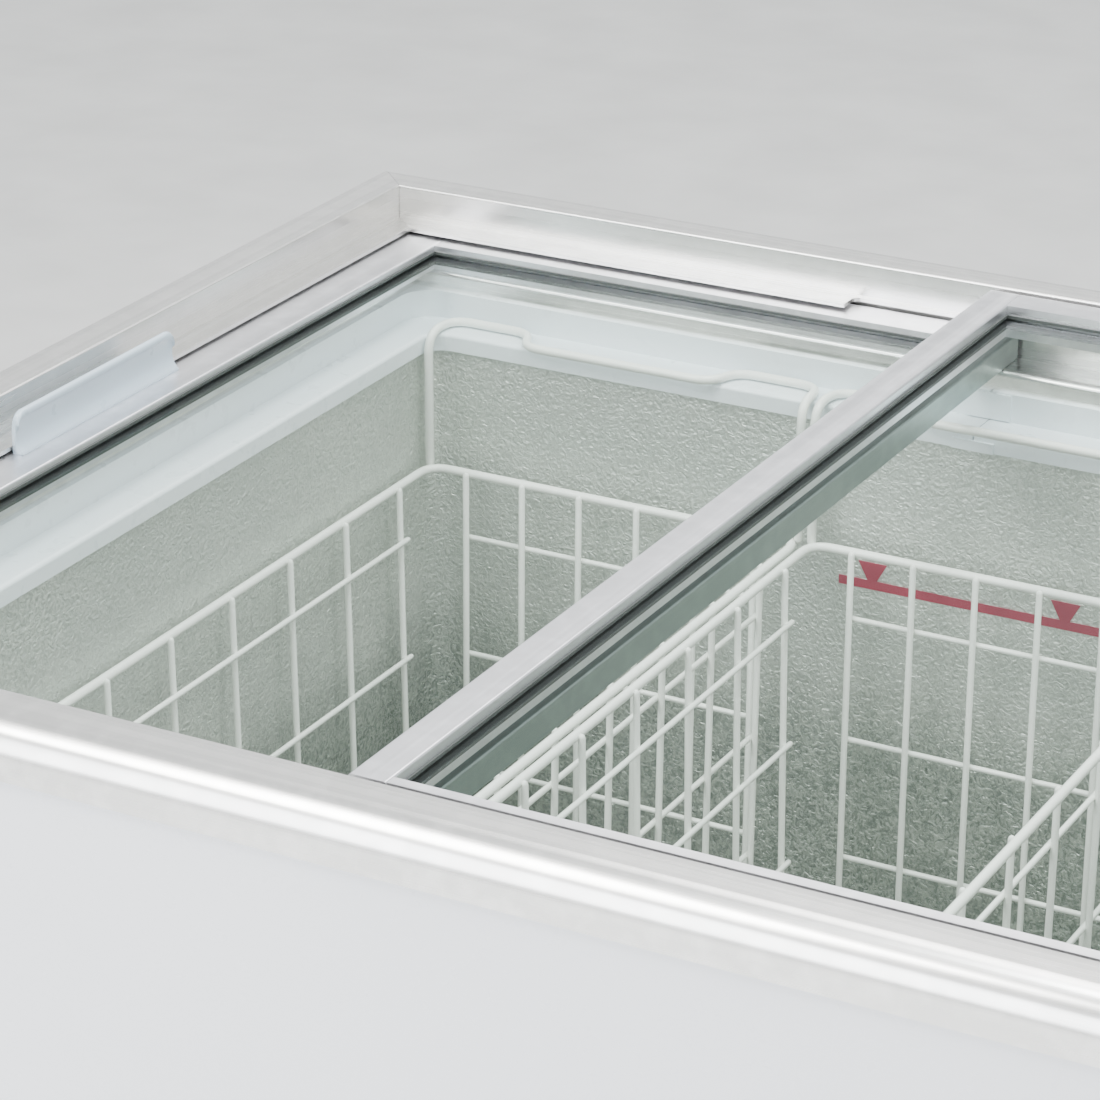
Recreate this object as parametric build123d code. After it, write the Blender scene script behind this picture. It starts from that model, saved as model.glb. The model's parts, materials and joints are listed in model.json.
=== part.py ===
from build123d import *
import math
import os

# Ice cream chest cabinet with two sliding glass lids and lift-out wire baskets.
# Units are millimetres. +Z is up, the front is -Y, and the origin is the middle
# of the footprint on the floor.

# ---------------------------------------------------------------- driving sizes
# Overall
CABINET_LENGTH = 726.0          # X, over the aluminium rim
CABINET_DEPTH = 642.0           # Y, over the aluminium rim
RIM_HEIGHT = 880.0              # floor to the top of the rim

# Rim extrusion. "In" is measured from the rim's inner upright face.
RIM_WIDTH = 27.0
RIM_NOSE_RADIUS = 13.0
RIM_SKIRT = 22.0
RIM_WALL = 1.8
MITRE_GAP = 0.12
LEDGE_DROP = 17.0               # rim top to the upper track
LEDGE_IN = 13.5
RAIL_DROP = 33.0                # rim top to the lower track
RAIL_IN = 22.0
RAIL_NOSE_RADIUS = 3.0
RAIL_FACE = 10.0                # height of the lower track's nose
LIP_CUT_LENGTH = 163.0
LIP_CUT_DEPTH = 12.0
LIP_CUT_RADIUS = 4.0
CORNER_KEY_LEG = 46.0
CORNER_KEY_WIDTH = 11.0
CORNER_KEY_THICK = 2.5

# Screws that hold the collar under the lower track
SCREW_RADIUS = 1.9
SCREW_HOLE_CLEARANCE = 0.1
SCREW_LENGTH = 12.0
SCREW_HEAD_RADIUS = 3.6
SCREW_HEAD_RISE = 0.2
SCREW_IN = 8.0                  # rim's inner face to a screw
SCREW_FIRST_X = 38.0            # rim's inner face to the first screw of a long side
SCREW_FIRST_Y = 120.0           # and of a short side

# Plastic collar
COLLAR_WALL = 2.2
COLLAR_FACE_IN = 24.5
COLLAR_FLANGE_IN = 2.0
SHELF_DROP = 57.0
TANK_FACE_IN = 42.0
SKIRT_DROP = 66.0
COLLAR_CORNER_RADIUS = 16.0
COLLAR_EDGE_RADIUS = 4.0
COLLAR_SPLIT = 0.6
CLIP_LENGTH = 21.0
CLIP_THICK = 1.2

# Tank
TANK_SHEET = 1.0
TANK_CORNER_RADIUS = 14.0
TANK_FLOOR_HEIGHT = 160.0
HUMP_HEIGHT = 430.0
HUMP_LENGTH = 145.0
DRAIN_BORE_RADIUS = 11.0
DRAIN_FLANGE = 6.0
DRAIN_IN = 70.0

# Load line
LOAD_LINE_DROP = 146.0
LOAD_LINE_HEIGHT = 4.6
LOAD_LINE_LENGTH = 134.0
LOAD_LINE_THICK = 0.3
LOAD_MARK_PITCH = 99.0
LOAD_MARK_WIDTH = 15.0
LOAD_MARK_HEIGHT = 14.0

# Evaporator tube round the tank
COIL_RADIUS = 4.0
COIL_TURNS = 6
COIL_TOP_GAP = 77.8             # last turn to the top of the tank
COIL_BAND = 14.0                # foam kept clear around the coil
COIL_RISE = 60.0                # tank's step to the first turn

# Outer shell
PANEL_SHEET = 0.8
PANEL_CLEARANCE = 0.4           # between a panel and the rim's skirt
PANEL_TUCK = 8.0                # how far a panel reaches up behind the skirt
BASE_HEIGHT = 82.0
BASE_SHEET = 2.0
PANEL_DROP = 6.0                # how far the panels hang below the base pan

# Machine compartment at the right-hand end, under the step in the tank
MACHINE_WALL_IN = 60.0          # foam between the tank and the compartment
GRILLE_LENGTH = 130.0
GRILLE_HEIGHT = 170.0
GRILLE_BORDER = 12.0
GRILLE_THICK = 2.0
GRILLE_SLOTS = 9
GRILLE_SLOT_HEIGHT = 7.0
GRILLE_BOTTOM = 100.0
COVER_CORNER_RADIUS = 6.0
CONTROL_GAP = 4.0               # grille to the control panel
CONTROL_HEIGHT = 70.0
CONTROL_RECESS = 20.0
TRAY_IN = 6.0                   # edge of the control panel to its recess
TRAY_WALL = 2.0
INLET_LENGTH = 28.0
INLET_HEIGHT = 22.0
INLET_DEPTH = 24.0
INLET_WALL = 2.5
INLET_FLANGE = 5.0
INLET_POCKET = 16.0
INLET_RISE = 34.0               # top of the grille to the middle of the inlet
INLET_PIN_PITCH = 6.0
INLET_PIN_WIDTH = 2.0
INLET_PIN_HEIGHT = 5.0
INLET_PIN_SETBACK = 3.0
COMPRESSOR_RADIUS = 62.0
COMPRESSOR_HEIGHT = 140.0
COMPRESSOR_DOME = 26.0
COMPRESSOR_Y = -60.0
STAND_RADIUS = 46.0
STAND_HEIGHT = 10.0
SEAM_RISE = 78.0
SEAM_OUT = 3.0
SEAM_HEIGHT = 4.0
MOUNT_RADIUS = 10.0
MOUNT_HOLE_RADIUS = 4.0
MOUNT_HEIGHT = 14.0
MOUNT_SPAN_X = 96.0
MOUNT_SPAN_Y = 124.0
CRADLE_MARGIN = 12.0
CRADLE_THICK = 3.0
TERMINAL_WIDTH = 48.0
TERMINAL_HEIGHT = 44.0
TERMINAL_OUT = 18.0
TERMINAL_BITE = 30.0
TERMINAL_RISE = 28.0
STUB_OFFSET = 20.0              # compressor's middle to its two pipe stubs
STUB_OUT = 14.0
SUCTION_RISE = 100.0
SUCTION_STUB_RADIUS = 5.0
SUCTION_RADIUS = 4.0
SUCTION_RUN = 60.0
SUCTION_BEND = 16.0
DISCHARGE_RISE = 50.0
DISCHARGE_STUB_RADIUS = 4.0
DISCHARGE_RADIUS = 3.0
DISCHARGE_RUN = 40.0
DISCHARGE_BEND = 10.0
DRIER_RISE = 120.0
DRIER_DROP = 60.0
DRIER_OFFSET = 45.0
DRIER_LENGTH = 90.0
DRIER_RADIUS = 9.0
DRIER_NECK = 5.0
DRIER_BEND = 8.0
LIQUID_RUN = 40.0
LIQUID_BEND = 14.0
CONDENSER_FINS = 17
CONDENSER_LENGTH = 96.0
CONDENSER_DEPTH = 30.0
CONDENSER_HEIGHT = 150.0
CONDENSER_IN = 22.0             # front panel to the condenser
FIN_THICK = 0.8
TUBE_ROWS = 5
TUBE_RADIUS = 4.0
TUBE_REACH = 10.0               # how far the tubes stand out of the fins
TUBE_FIRST = 30.0
TUBE_PITCH = 24.0
SHROUD_SIZE = 140.0
SHROUD_SHEET = 2.0
SHROUD_ARM = 10.0
SHROUD_ARM_SHEET = 4.0
SHROUD_ARM_REACH = 40.0
FAN_TIP_GAP = 4.0
MOTOR_RADIUS = 30.0
MOTOR_LENGTH = 34.0
MOTOR_SETBACK = 36.0            # shroud to the motor
MOTOR_BORE = 20.0
FAN_AXIS_RISE = 72.0

# Lids
LID_CLEARANCE = 3.0             # rim's inner face to a lid's edge
LID_RUNNING_GAP = 0.3
MEETING_X = -3.75               # middle of the two meeting bars, one above the other
LID_MEMBER = 17.0
LID_MEETING_BAR = 15.5
UPPER_LID_THICK = 15.5
LOWER_LID_THICK = 12.4
LOWER_MEMBER = 20.0
LOWER_END_MEMBER = 30.5
GLASS_THICK = 4.0
GLASS_BITE = 7.0
UPPER_FRONT_MEMBER = 5.0        # the upper lid's front member is a narrow edge strip
NARROW_BITE = 3.0               # glass held by that strip
GASKET_THICK = 1.4
GASKET_GAP = 0.2
HANDLE_LENGTH = 121.6
HANDLE_OUT = 14.2               # rim's inner face to the fin
HANDLE_FIN = 2.6
HANDLE_RISE = 19.6
HANDLE_CORNER_RADIUS = 4.0
HANDLE_FOOT = 5.6
HANDLE_FOOT_THICK = 2.4
STOP_LENGTH = 10.0
STOP_HEIGHT = 8.0
STOP_RISE = 2.0                 # lid's underside to its stop
STOP_SPREAD = 0.55              # stop's place as a share of the half depth

# Baskets
BASKET_COUNT = 2
BASKET_GAP = 2.5
BASKET_START_IN = 45.75         # rim's inner face to the first basket
BASKET_CORNER_RADIUS = 2.0
BASKET_END_GAP = 18.75          # last basket to the step
BASKET_SIDE_GAP = 9.75          # tank wall to a basket
BASKET_RING_DROP = 125.5        # rim top to the ring's centre line
BASKET_DEPTH = 330.0
RING_WIRE = 4.5
GRID_WIRE = 2.8
END_WIRES = 6
END_WIRE_MARGIN = 24.5          # basket's corner to the first upright
SIDE_WIRES = 9
SIDE_WIRE_MARGIN = 38.25
ROW_PITCH = 64.0
FIRST_ROW_DROP_SIDE = 26.0
FIRST_ROW_DROP_END = 34.0
ROWS = 5
WIRE_END = 3.0                  # how far a row stands out past the last upright
HANGER_SHOULDER = 45.0
HANGER_SHELF_IN = 31.0
HANGER_GRIP_IN = 49.0
HANGER_REST_GAP = 0.3

# Control knob, lamps and fan
KNOB_RADIUS = 19.0
KNOB_HEIGHT = 16.0
KNOB_TURN_GAP = 0.5
KNOB_OFFSET = 30.0              # grille's middle to the knob
KNOB_EDGE = 1.5
KNOB_FLUTES = 12
FLUTE_RADIUS = 3.0
FLUTE_OUT = 1.2
POINTER_WIDTH = 2.0
POINTER_DEPTH = 1.0
POINTER_IN = 4.0
SHAFT_RADIUS = 3.0
SHAFT_HOLE_RADIUS = 5.0
SHAFT_CLEARANCE = 0.05
THERMOSTAT_WIDTH = 36.0
THERMOSTAT_HEIGHT = 32.0
THERMOSTAT_DEPTH = 26.0
THERMOSTAT_BORE = 13.0
LAMP_RADIUS = 4.0
LAMP_LENGTH = 5.0
LAMP_OUT = 0.5
LAMP_CLEARANCE = 0.1
LAMP_OFFSET = 12.0              # grille's middle to the first lamp
LAMP_PITCH = 20.0
LAMP_COUNT = 2
FAN_RADIUS = 61.0
FAN_BLADES = 5
HUB_RADIUS = 18.0
HUB_LENGTH = 24.0
BLADE_WIDTH = 26.0
BLADE_LENGTH = 46.0
BLADE_THICK = 2.0
BLADE_PITCH = 32.0

# Castors
WHEEL_RADIUS = 25.0
WHEEL_WIDTH = 18.0
CASTOR_IN_X = 62.0
CASTOR_IN_Y = 62.0
CASTOR_TRAIL = 18.0
FORK_SHEET = 2.0
AXLE_RADIUS = 4.0
AXLE_CLEARANCE = 0.06
PLATE_SIZE = 54.0
PLATE_THICK = 2.5
PLATE_CORNER_RADIUS = 5.0
SWIVEL_GAP = 0.5
SWIVEL_RADIUS = 12.0
TYRE_EDGE = 3.0
TYRE_DEPTH = 7.0
HUB_RING = 3.0
HUB_DISH = 3.0
CHEEK_GAP = 1.0                 # wheel to a fork cheek
CROWN_GAP = 6.0                 # wheel to the fork's crown
CROWN_DEPTH = 40.0
CHEEK_TIP = 9.0
CHEEK_LOW = 6.0
AXLE_OUT = 2.0

# Drain
SPOUT_RADIUS = 10.0
SPOUT_LENGTH = 30.0
SPOUT_GAP = 2.0                 # base pan to the spout's shoulder
TUBE_OUTER_RADIUS = 9.0
TUBE_INNER_RADIUS = 7.0
PAN_HOLE_CLEARANCE = 0.2
PLUG_GAP = 0.3
PLUG_RADIUS = 16.0
PLUG_HEAD = 4.0
PLUG_STEM = 14.0
PLUG_TAB_WIDTH = 18.0
PLUG_TAB_THICK = 3.0
PLUG_TAB_HEIGHT = 12.0

# ---------------------------------------------------------------- derived sizes
FACE_X = CABINET_LENGTH / 2 - RIM_WIDTH         # rim's inner face
FACE_Y = CABINET_DEPTH / 2 - RIM_WIDTH
TANK_X = FACE_X - TANK_FACE_IN                  # tank's inner faces
TANK_Y = FACE_Y - TANK_FACE_IN
PANEL_X = CABINET_LENGTH / 2 - RIM_WALL - PANEL_CLEARANCE
PANEL_Y = CABINET_DEPTH / 2 - RIM_WALL - PANEL_CLEARANCE
RAIL_BOTTOM = RIM_HEIGHT - RAIL_DROP - RAIL_FACE
SHELF_TOP = RIM_HEIGHT - SHELF_DROP
SKIRT_BOTTOM = RIM_HEIGHT - SKIRT_DROP
TANK_TOP = SHELF_TOP - COLLAR_WALL - 1.0
COIL_PITCH = (TANK_TOP - COIL_TOP_GAP - HUMP_HEIGHT - COIL_RISE) / COIL_TURNS
HUMP_X = TANK_X - HUMP_LENGTH                   # step's upright face
PANEL_TOP = RIM_HEIGHT - RIM_SKIRT + PANEL_TUCK
MACHINE_X = HUMP_X + MACHINE_WALL_IN
MACHINE_TOP = HUMP_HEIGHT - MACHINE_WALL_IN
INNER_X = PANEL_X - PANEL_SHEET
INNER_Y = PANEL_Y - PANEL_SHEET
UPPER_LID_Z = RIM_HEIGHT - LEDGE_DROP + LID_RUNNING_GAP
LOWER_LID_Z = RIM_HEIGHT - RAIL_DROP + LID_RUNNING_GAP
LID_Y = FACE_Y - LID_CLEARANCE
BASKET_RUN = HUMP_X + FACE_X - BASKET_START_IN - BASKET_END_GAP
BASKET_LENGTH_X = (BASKET_RUN - (BASKET_COUNT - 1) * BASKET_GAP) / BASKET_COUNT
BASKET_LENGTH_Y = 2 * (TANK_Y - BASKET_SIDE_GAP)
END_WIRE_PITCH = (BASKET_LENGTH_X - 2 * END_WIRE_MARGIN) / (END_WIRES - 1)
SIDE_WIRE_PITCH = (BASKET_LENGTH_Y - 2 * SIDE_WIRE_MARGIN) / (SIDE_WIRES - 1)

os.makedirs("parts", exist_ok=True)


# ---------------------------------------------------------------- helpers
def block(x0, x1, y0, y1, z0, z1):
    """A box between two corners."""
    size = Box(x1 - x0, y1 - y0, z1 - z0)
    return Pos((x0 + x1) / 2, (y0 + y1) / 2, (z0 + z1) / 2) * size


def rod(start, end, radius):
    """A round bar between two points."""
    direction = Vector(*end) - Vector(*start)
    plane = Plane(origin=start, z_dir=direction)
    return extrude(plane * Circle(radius), amount=direction.length)


def rounded_prism(half_x, half_y, radius, z0, z1):
    """An upright prism with rounded corners, centred on the cabinet."""
    plane = Plane.XY.offset(z0)
    return extrude(plane * RectangleRounded(2 * half_x, 2 * half_y, radius), amount=z1 - z0)


def bent_rod(points, radii, radius):
    """A round bar along straight runs joined by arcs."""
    path = FilletPolyline(*points, radius=radii)
    start = Plane(origin=path @ 0, z_dir=path % 0)
    return sweep(start * Circle(radius), path=path)


def save(name, *solids):
    """Writes one node, made of one or more separate solids."""
    pieces = []
    for solid in solids:
        pieces.extend(solid.solids())
    shape = pieces[0] if len(pieces) == 1 else Compound(children=pieces)
    export_step(shape, f"parts/{name}.step")


def four_corners(half_x, half_y):
    """The corners of a rectangle centred on the cabinet."""
    return [(sx * half_x, sy * half_y) for sx in (-1, 1) for sy in (-1, 1)]


# ---------------------------------------------------------------- rim
def rim_section():
    """Outline of the rim extrusion: X is in from the outer face, Y is up from the rim top."""
    face = RIM_WIDTH
    rail_top = -RAIL_DROP
    rail_low = -RAIL_DROP - RAIL_FACE
    web = face - RIM_WALL
    nose_back = face + RAIL_IN - RIM_WALL
    outline = Polyline(
        (0, -RIM_SKIRT),
        (0, 0),
        (face, 0),
        (face, -LEDGE_DROP),
        (face + LEDGE_IN, -LEDGE_DROP),
        (face + LEDGE_IN, -LEDGE_DROP - RIM_WALL),
        (face, -LEDGE_DROP - RIM_WALL),
        (face, rail_top),
        (face + RAIL_IN, rail_top),
        (face + RAIL_IN, rail_low),
        (nose_back, rail_low),
        (nose_back, rail_top - RIM_WALL),
        (web, rail_top - RIM_WALL),
        (web, -RIM_WALL),
        (RIM_WALL, -RIM_WALL),
        (RIM_WALL, -RIM_SKIRT),
        (0, -RIM_SKIRT),
    )
    section = make_face(outline)
    nose = section.vertices().sort_by_distance((0, 0))[0]
    section = fillet(nose, RIM_NOSE_RADIUS)
    nose_inner = section.vertices().sort_by_distance((RIM_WALL, -RIM_WALL))[0]
    section = fillet(nose_inner, RIM_NOSE_RADIUS - RIM_WALL)
    rail_nose = section.vertices().sort_by_distance((face + RAIL_IN, rail_top))[0]
    section = fillet(rail_nose, RAIL_NOSE_RADIUS)
    top_edge = section.vertices().sort_by_distance((face, 0))[0]
    return fillet(top_edge, RIM_WALL / 2)


def rim_side(length, offset):
    """One mitred extrusion along X, its outer face at Y = -offset."""
    frame = Plane(origin=(-length / 2, -offset, RIM_HEIGHT), x_dir=(0, 1, 0), z_dir=(1, 0, 0))
    bar = extrude(frame * rim_section(), amount=length)
    reach = RIM_WIDTH + RAIL_IN + 1
    half = length / 2 - MITRE_GAP
    plan = make_face(Polyline(
        (-half, -offset),
        (half, -offset),
        (half - reach, -offset + reach),
        (-half + reach, -offset + reach),
        (-half, -offset),
    ))
    return bar & Pos(0, 0, RIM_HEIGHT - 80) * extrude(plan, amount=100)


def lip_cut(offset):
    """Clearance in the upper track's lip, at mid-length."""
    lip_edge = -offset + RIM_WIDTH + LEDGE_IN
    top = RIM_HEIGHT - LEDGE_DROP
    cut = block(-LIP_CUT_LENGTH / 2, LIP_CUT_LENGTH / 2, lip_edge - LIP_CUT_DEPTH, lip_edge + 1,
                top - RIM_WALL - 1, top + 1)
    ends = cut.edges().filter_by(Axis.Z).group_by(Axis.Y)[0]
    return fillet(ends, LIP_CUT_RADIUS)


long_bar = rim_side(CABINET_LENGTH, CABINET_DEPTH / 2) - lip_cut(CABINET_DEPTH / 2)
short_bar = rim_side(CABINET_DEPTH, CABINET_LENGTH / 2)


def rail_screw_points():
    """Places of the screws along the lower track."""
    xs = (-FACE_X + SCREW_FIRST_X, 0, FACE_X - SCREW_FIRST_X)
    ys = (-FACE_Y + SCREW_FIRST_Y, FACE_Y - SCREW_FIRST_Y)
    points = [(x, s * (FACE_Y - SCREW_IN)) for x in xs for s in (-1, 1)]
    return points + [(s * (FACE_X - SCREW_IN), y) for y in ys for s in (-1, 1)]


screw_hole = Cylinder(SCREW_RADIUS + SCREW_HOLE_CLEARANCE, 3 * SCREW_LENGTH)
screw_holes = [Pos(x, y, RIM_HEIGHT - RAIL_DROP - SCREW_LENGTH) * screw_hole for x, y in rail_screw_points()]
rim_front = long_bar - screw_holes
rim_rear = Rot(0, 0, 180) * long_bar - screw_holes
rim_left = Rot(0, 0, -90) * short_bar - screw_holes
rim_right = Rot(0, 0, 90) * short_bar - screw_holes
save("rim_front", rim_front)
save("rim_rear", rim_rear)
save("rim_left", rim_left)
save("rim_right", rim_right)


def corner_key(sx, sy):
    """Flat angle that joins two rim extrusions, under their top plates."""
    top = RIM_HEIGHT - RIM_WALL
    out_x = CABINET_LENGTH / 2 - RIM_NOSE_RADIUS
    out_y = CABINET_DEPTH / 2 - RIM_NOSE_RADIUS
    leg = block(0, CORNER_KEY_LEG, 0, CORNER_KEY_WIDTH, top - CORNER_KEY_THICK, top)
    key = leg + block(0, CORNER_KEY_WIDTH, 0, CORNER_KEY_LEG, top - CORNER_KEY_THICK, top)
    turn = {(-1, -1): 0, (1, -1): 90, (1, 1): 180, (-1, 1): 270}[(sx, sy)]
    return Pos(sx * out_x, sy * out_y, 0) * Rot(0, 0, turn) * key


save("corner_keys", *[corner_key(sx, sy) for sx in (-1, 1) for sy in (-1, 1)])

rail_screws = []
for x, y in rail_screw_points():
    top = RIM_HEIGHT - RAIL_DROP
    shank = Pos(x, y, top - SCREW_LENGTH / 2) * Cylinder(SCREW_RADIUS, SCREW_LENGTH)
    head = Pos(x, y, top + SCREW_HEAD_RISE / 2) * Cylinder(SCREW_HEAD_RADIUS, SCREW_HEAD_RISE)
    rail_screws.append(shank + head)
save("rail_screws", *rail_screws)

# ---------------------------------------------------------------- collar
collar_z0 = RAIL_BOTTOM - COLLAR_WALL
wall_x = FACE_X - COLLAR_FACE_IN
wall_y = FACE_Y - COLLAR_FACE_IN
skirt_x = TANK_X - COLLAR_WALL
skirt_y = TANK_Y - COLLAR_WALL
flange_x = FACE_X - COLLAR_FLANGE_IN
flange_y = FACE_Y - COLLAR_FLANGE_IN
top_flange = rounded_prism(flange_x, flange_y, COLLAR_CORNER_RADIUS, collar_z0, RAIL_BOTTOM)
outer_corner = COLLAR_CORNER_RADIUS + COLLAR_WALL
upper_wall = rounded_prism(wall_x + COLLAR_WALL, wall_y + COLLAR_WALL, outer_corner, SHELF_TOP - COLLAR_WALL,
                           RAIL_BOTTOM)
skirt = rounded_prism(TANK_X, TANK_Y, TANK_CORNER_RADIUS, SKIRT_BOTTOM, SHELF_TOP)
well = rounded_prism(wall_x, wall_y, COLLAR_CORNER_RADIUS, SHELF_TOP, RAIL_BOTTOM + 1)
throat = rounded_prism(skirt_x, skirt_y, TANK_CORNER_RADIUS - COLLAR_WALL, SKIRT_BOTTOM - 1, SHELF_TOP + 1)
collar = top_flange + upper_wall + skirt - well - throat
shelf_edge = collar.edges().filter_by_position(Axis.Z, SHELF_TOP - 0.01, SHELF_TOP + 0.01)
shelf_edge = shelf_edge.filter_by(
    lambda e: max(abs(e.center().X) - skirt_x, abs(e.center().Y) - skirt_y) < 1)
collar = fillet(shelf_edge, COLLAR_EDGE_RADIUS / 2)
half_span = CABINET_LENGTH / 2
left_half = block(-half_span, -COLLAR_SPLIT / 2, -half_span, half_span, 0, RIM_HEIGHT)
right_half = block(COLLAR_SPLIT / 2, half_span, -half_span, half_span, 0, RIM_HEIGHT)
collar = collar - screw_holes
save("collar_left", collar & left_half)
save("collar_right", collar & right_half)


def collar_clip(side):
    """Cover over the joint between the two halves of the collar."""
    y_wall = side * (wall_y - CLIP_THICK / 2)
    y_skirt = side * (skirt_y - CLIP_THICK / 2)
    upper = Pos(0, y_wall, (SHELF_TOP + RAIL_BOTTOM) / 2) * Box(
        CLIP_LENGTH, CLIP_THICK, RAIL_BOTTOM - SHELF_TOP - 1)
    lower = Pos(0, y_skirt, (SKIRT_BOTTOM + SHELF_TOP - COLLAR_EDGE_RADIUS) / 2) * Box(
        CLIP_LENGTH, CLIP_THICK, SHELF_TOP - SKIRT_BOTTOM - COLLAR_EDGE_RADIUS)
    return [upper, lower]


save("collar_clips", *collar_clip(-1), *collar_clip(1))

# ---------------------------------------------------------------- tank
outer_radius = TANK_CORNER_RADIUS + TANK_SHEET
tank_out_x = TANK_X + TANK_SHEET
tank_out_y = TANK_Y + TANK_SHEET
ring = rounded_prism(tank_out_x, tank_out_y, outer_radius, TANK_FLOOR_HEIGHT, TANK_TOP)
ring = ring - rounded_prism(TANK_X, TANK_Y, TANK_CORNER_RADIUS, TANK_FLOOR_HEIGHT - 1, TANK_TOP + 1)
ring = ring - block(HUMP_X, half_span, -half_span, half_span, 0, HUMP_HEIGHT)
flat_x = TANK_X - TANK_CORNER_RADIUS
flat_y = TANK_Y - TANK_CORNER_RADIUS
tank_pieces = []
for x0, x1 in ((-half_span, -flat_x), (-flat_x, flat_x), (flat_x, half_span)):
    for y0, y1 in ((-half_span, -flat_y), (-flat_y, flat_y), (flat_y, half_span)):
        piece = ring & block(x0, x1, y0, y1, 0, RIM_HEIGHT)
        if x0 == -flat_x and y0 != -flat_y:
            low = piece & block(x0, HUMP_X, y0, y1, 0, HUMP_HEIGHT)
            tank_pieces.extend([low, piece & block(x0, x1, y0, y1, HUMP_HEIGHT, RIM_HEIGHT)])
        elif x0 != -flat_x or y0 != -flat_y:
            tank_pieces.append(piece)
save("tank_wall", *tank_pieces)

hump_top = rounded_prism(tank_out_x, tank_out_y, outer_radius, HUMP_HEIGHT - TANK_SHEET, HUMP_HEIGHT)
hump_top = hump_top & block(HUMP_X, half_span, -half_span, half_span, 0, RIM_HEIGHT)
hump_side = block(HUMP_X, HUMP_X + TANK_SHEET, -tank_out_y, tank_out_y, TANK_FLOOR_HEIGHT,
                  HUMP_HEIGHT - TANK_SHEET)
save("tank_step", hump_top, hump_side)

drain_x = -TANK_X + DRAIN_IN
drain_y = -TANK_Y + DRAIN_IN
floor_plate = rounded_prism(tank_out_x, tank_out_y, outer_radius, TANK_FLOOR_HEIGHT - TANK_SHEET,
                            TANK_FLOOR_HEIGHT)
floor_plate = floor_plate & block(-half_span, HUMP_X + TANK_SHEET, -half_span, half_span, 0, RIM_HEIGHT)
floor_plate = floor_plate - Pos(drain_x, drain_y, TANK_FLOOR_HEIGHT) * Cylinder(DRAIN_BORE_RADIUS, 10)
save("tank_floor", floor_plate)

# ---------------------------------------------------------------- load line
line_z = RIM_HEIGHT - LOAD_LINE_DROP
strip = Plane(origin=(0, TANK_Y, line_z), x_dir=(1, 0, 0), z_dir=(0, -1, 0))
line_face = Rectangle(LOAD_LINE_LENGTH, LOAD_LINE_HEIGHT)
for side in (-1, 1):
    x = side * LOAD_MARK_PITCH / 2
    tip = -LOAD_LINE_HEIGHT / 2
    mark = make_face(Polyline(
        (x, tip),
        (x + LOAD_MARK_WIDTH / 2, tip + LOAD_MARK_HEIGHT),
        (x - LOAD_MARK_WIDTH / 2, tip + LOAD_MARK_HEIGHT),
        (x, tip),
    ))
    line_face = line_face + mark
save("load_line_label", extrude(strip * line_face, amount=LOAD_LINE_THICK))

# ---------------------------------------------------------------- foam and evaporator
coil_bottom = HUMP_HEIGHT + COIL_RISE
coil_x = tank_out_x + COIL_RADIUS
coil_y = tank_out_y + COIL_RADIUS
coil_corners = [(-coil_x, -coil_y), (coil_x, -coil_y), (coil_x, coil_y), (-coil_x, coil_y)]
coil_points = [(0, -coil_y, coil_bottom)]
for step in range(4 * COIL_TURNS):
    x, y = coil_corners[(step + 1) % 4]
    coil_points.append((x, y, coil_bottom + COIL_PITCH * (step + 0.5) / 4))
coil_points.append((0, -coil_y, coil_bottom + COIL_PITCH * COIL_TURNS))
coil_bend = outer_radius + COIL_RADIUS
evaporator = bent_rod(coil_points, [coil_bend] * (len(coil_points) - 2), COIL_RADIUS)
save("evaporator_coil", evaporator)

foam = block(-INNER_X, INNER_X, -INNER_Y, INNER_Y, BASE_HEIGHT + BASE_SHEET, collar_z0)
foam = foam - rounded_prism(tank_out_x, tank_out_y, outer_radius, HUMP_HEIGHT - TANK_SHEET, RIM_HEIGHT)
deep = rounded_prism(tank_out_x, tank_out_y, outer_radius, TANK_FLOOR_HEIGHT - TANK_SHEET, HUMP_HEIGHT)
foam = foam - (deep & block(-half_span, HUMP_X + TANK_SHEET, -half_span, half_span, 0, RIM_HEIGHT))
foam = foam - rounded_prism(wall_x + COLLAR_WALL, wall_y + COLLAR_WALL, outer_corner, SHELF_TOP - COLLAR_WALL,
                            RIM_HEIGHT)
coil_top = coil_bottom + COIL_PITCH * COIL_TURNS
foam = foam - rounded_prism(coil_x + COIL_BAND / 2, coil_y + COIL_BAND / 2, coil_bend + COIL_BAND / 2,
                            coil_bottom - COIL_BAND, coil_top + COIL_BAND)
foam = foam - block(MACHINE_X, half_span, -half_span, half_span, 0, MACHINE_TOP)
foam = foam - Pos(drain_x, drain_y, BASE_HEIGHT) * Cylinder(DRAIN_BORE_RADIUS + DRAIN_FLANGE + 0.3, 300)
save("foam_insulation", foam)

# ---------------------------------------------------------------- outer shell
grille_x = (MACHINE_X + INNER_X) / 2
control_z = GRILLE_BOTTOM + GRILLE_HEIGHT + CONTROL_GAP + CONTROL_HEIGHT / 2
knob_x = grille_x - KNOB_OFFSET
lamp_x = [grille_x + LAMP_OFFSET + LAMP_PITCH * i for i in range(LAMP_COUNT)]
tray_y = -PANEL_Y + CONTROL_RECESS              # bottom of the control recess
cutter_length = 6 * TRAY_WALL
shaft_hole = Pos(knob_x, tray_y, control_z) * Rot(90, 0, 0) * Cylinder(SHAFT_HOLE_RADIUS, cutter_length)
lamp_hole = Rot(90, 0, 0) * Cylinder(LAMP_RADIUS, cutter_length)
lamp_holes = [Pos(x, tray_y, control_z) * lamp_hole for x in lamp_x]
tray_half_x = GRILLE_LENGTH / 2 - TRAY_IN
tray_half_z = CONTROL_HEIGHT / 2 - TRAY_IN


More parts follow.
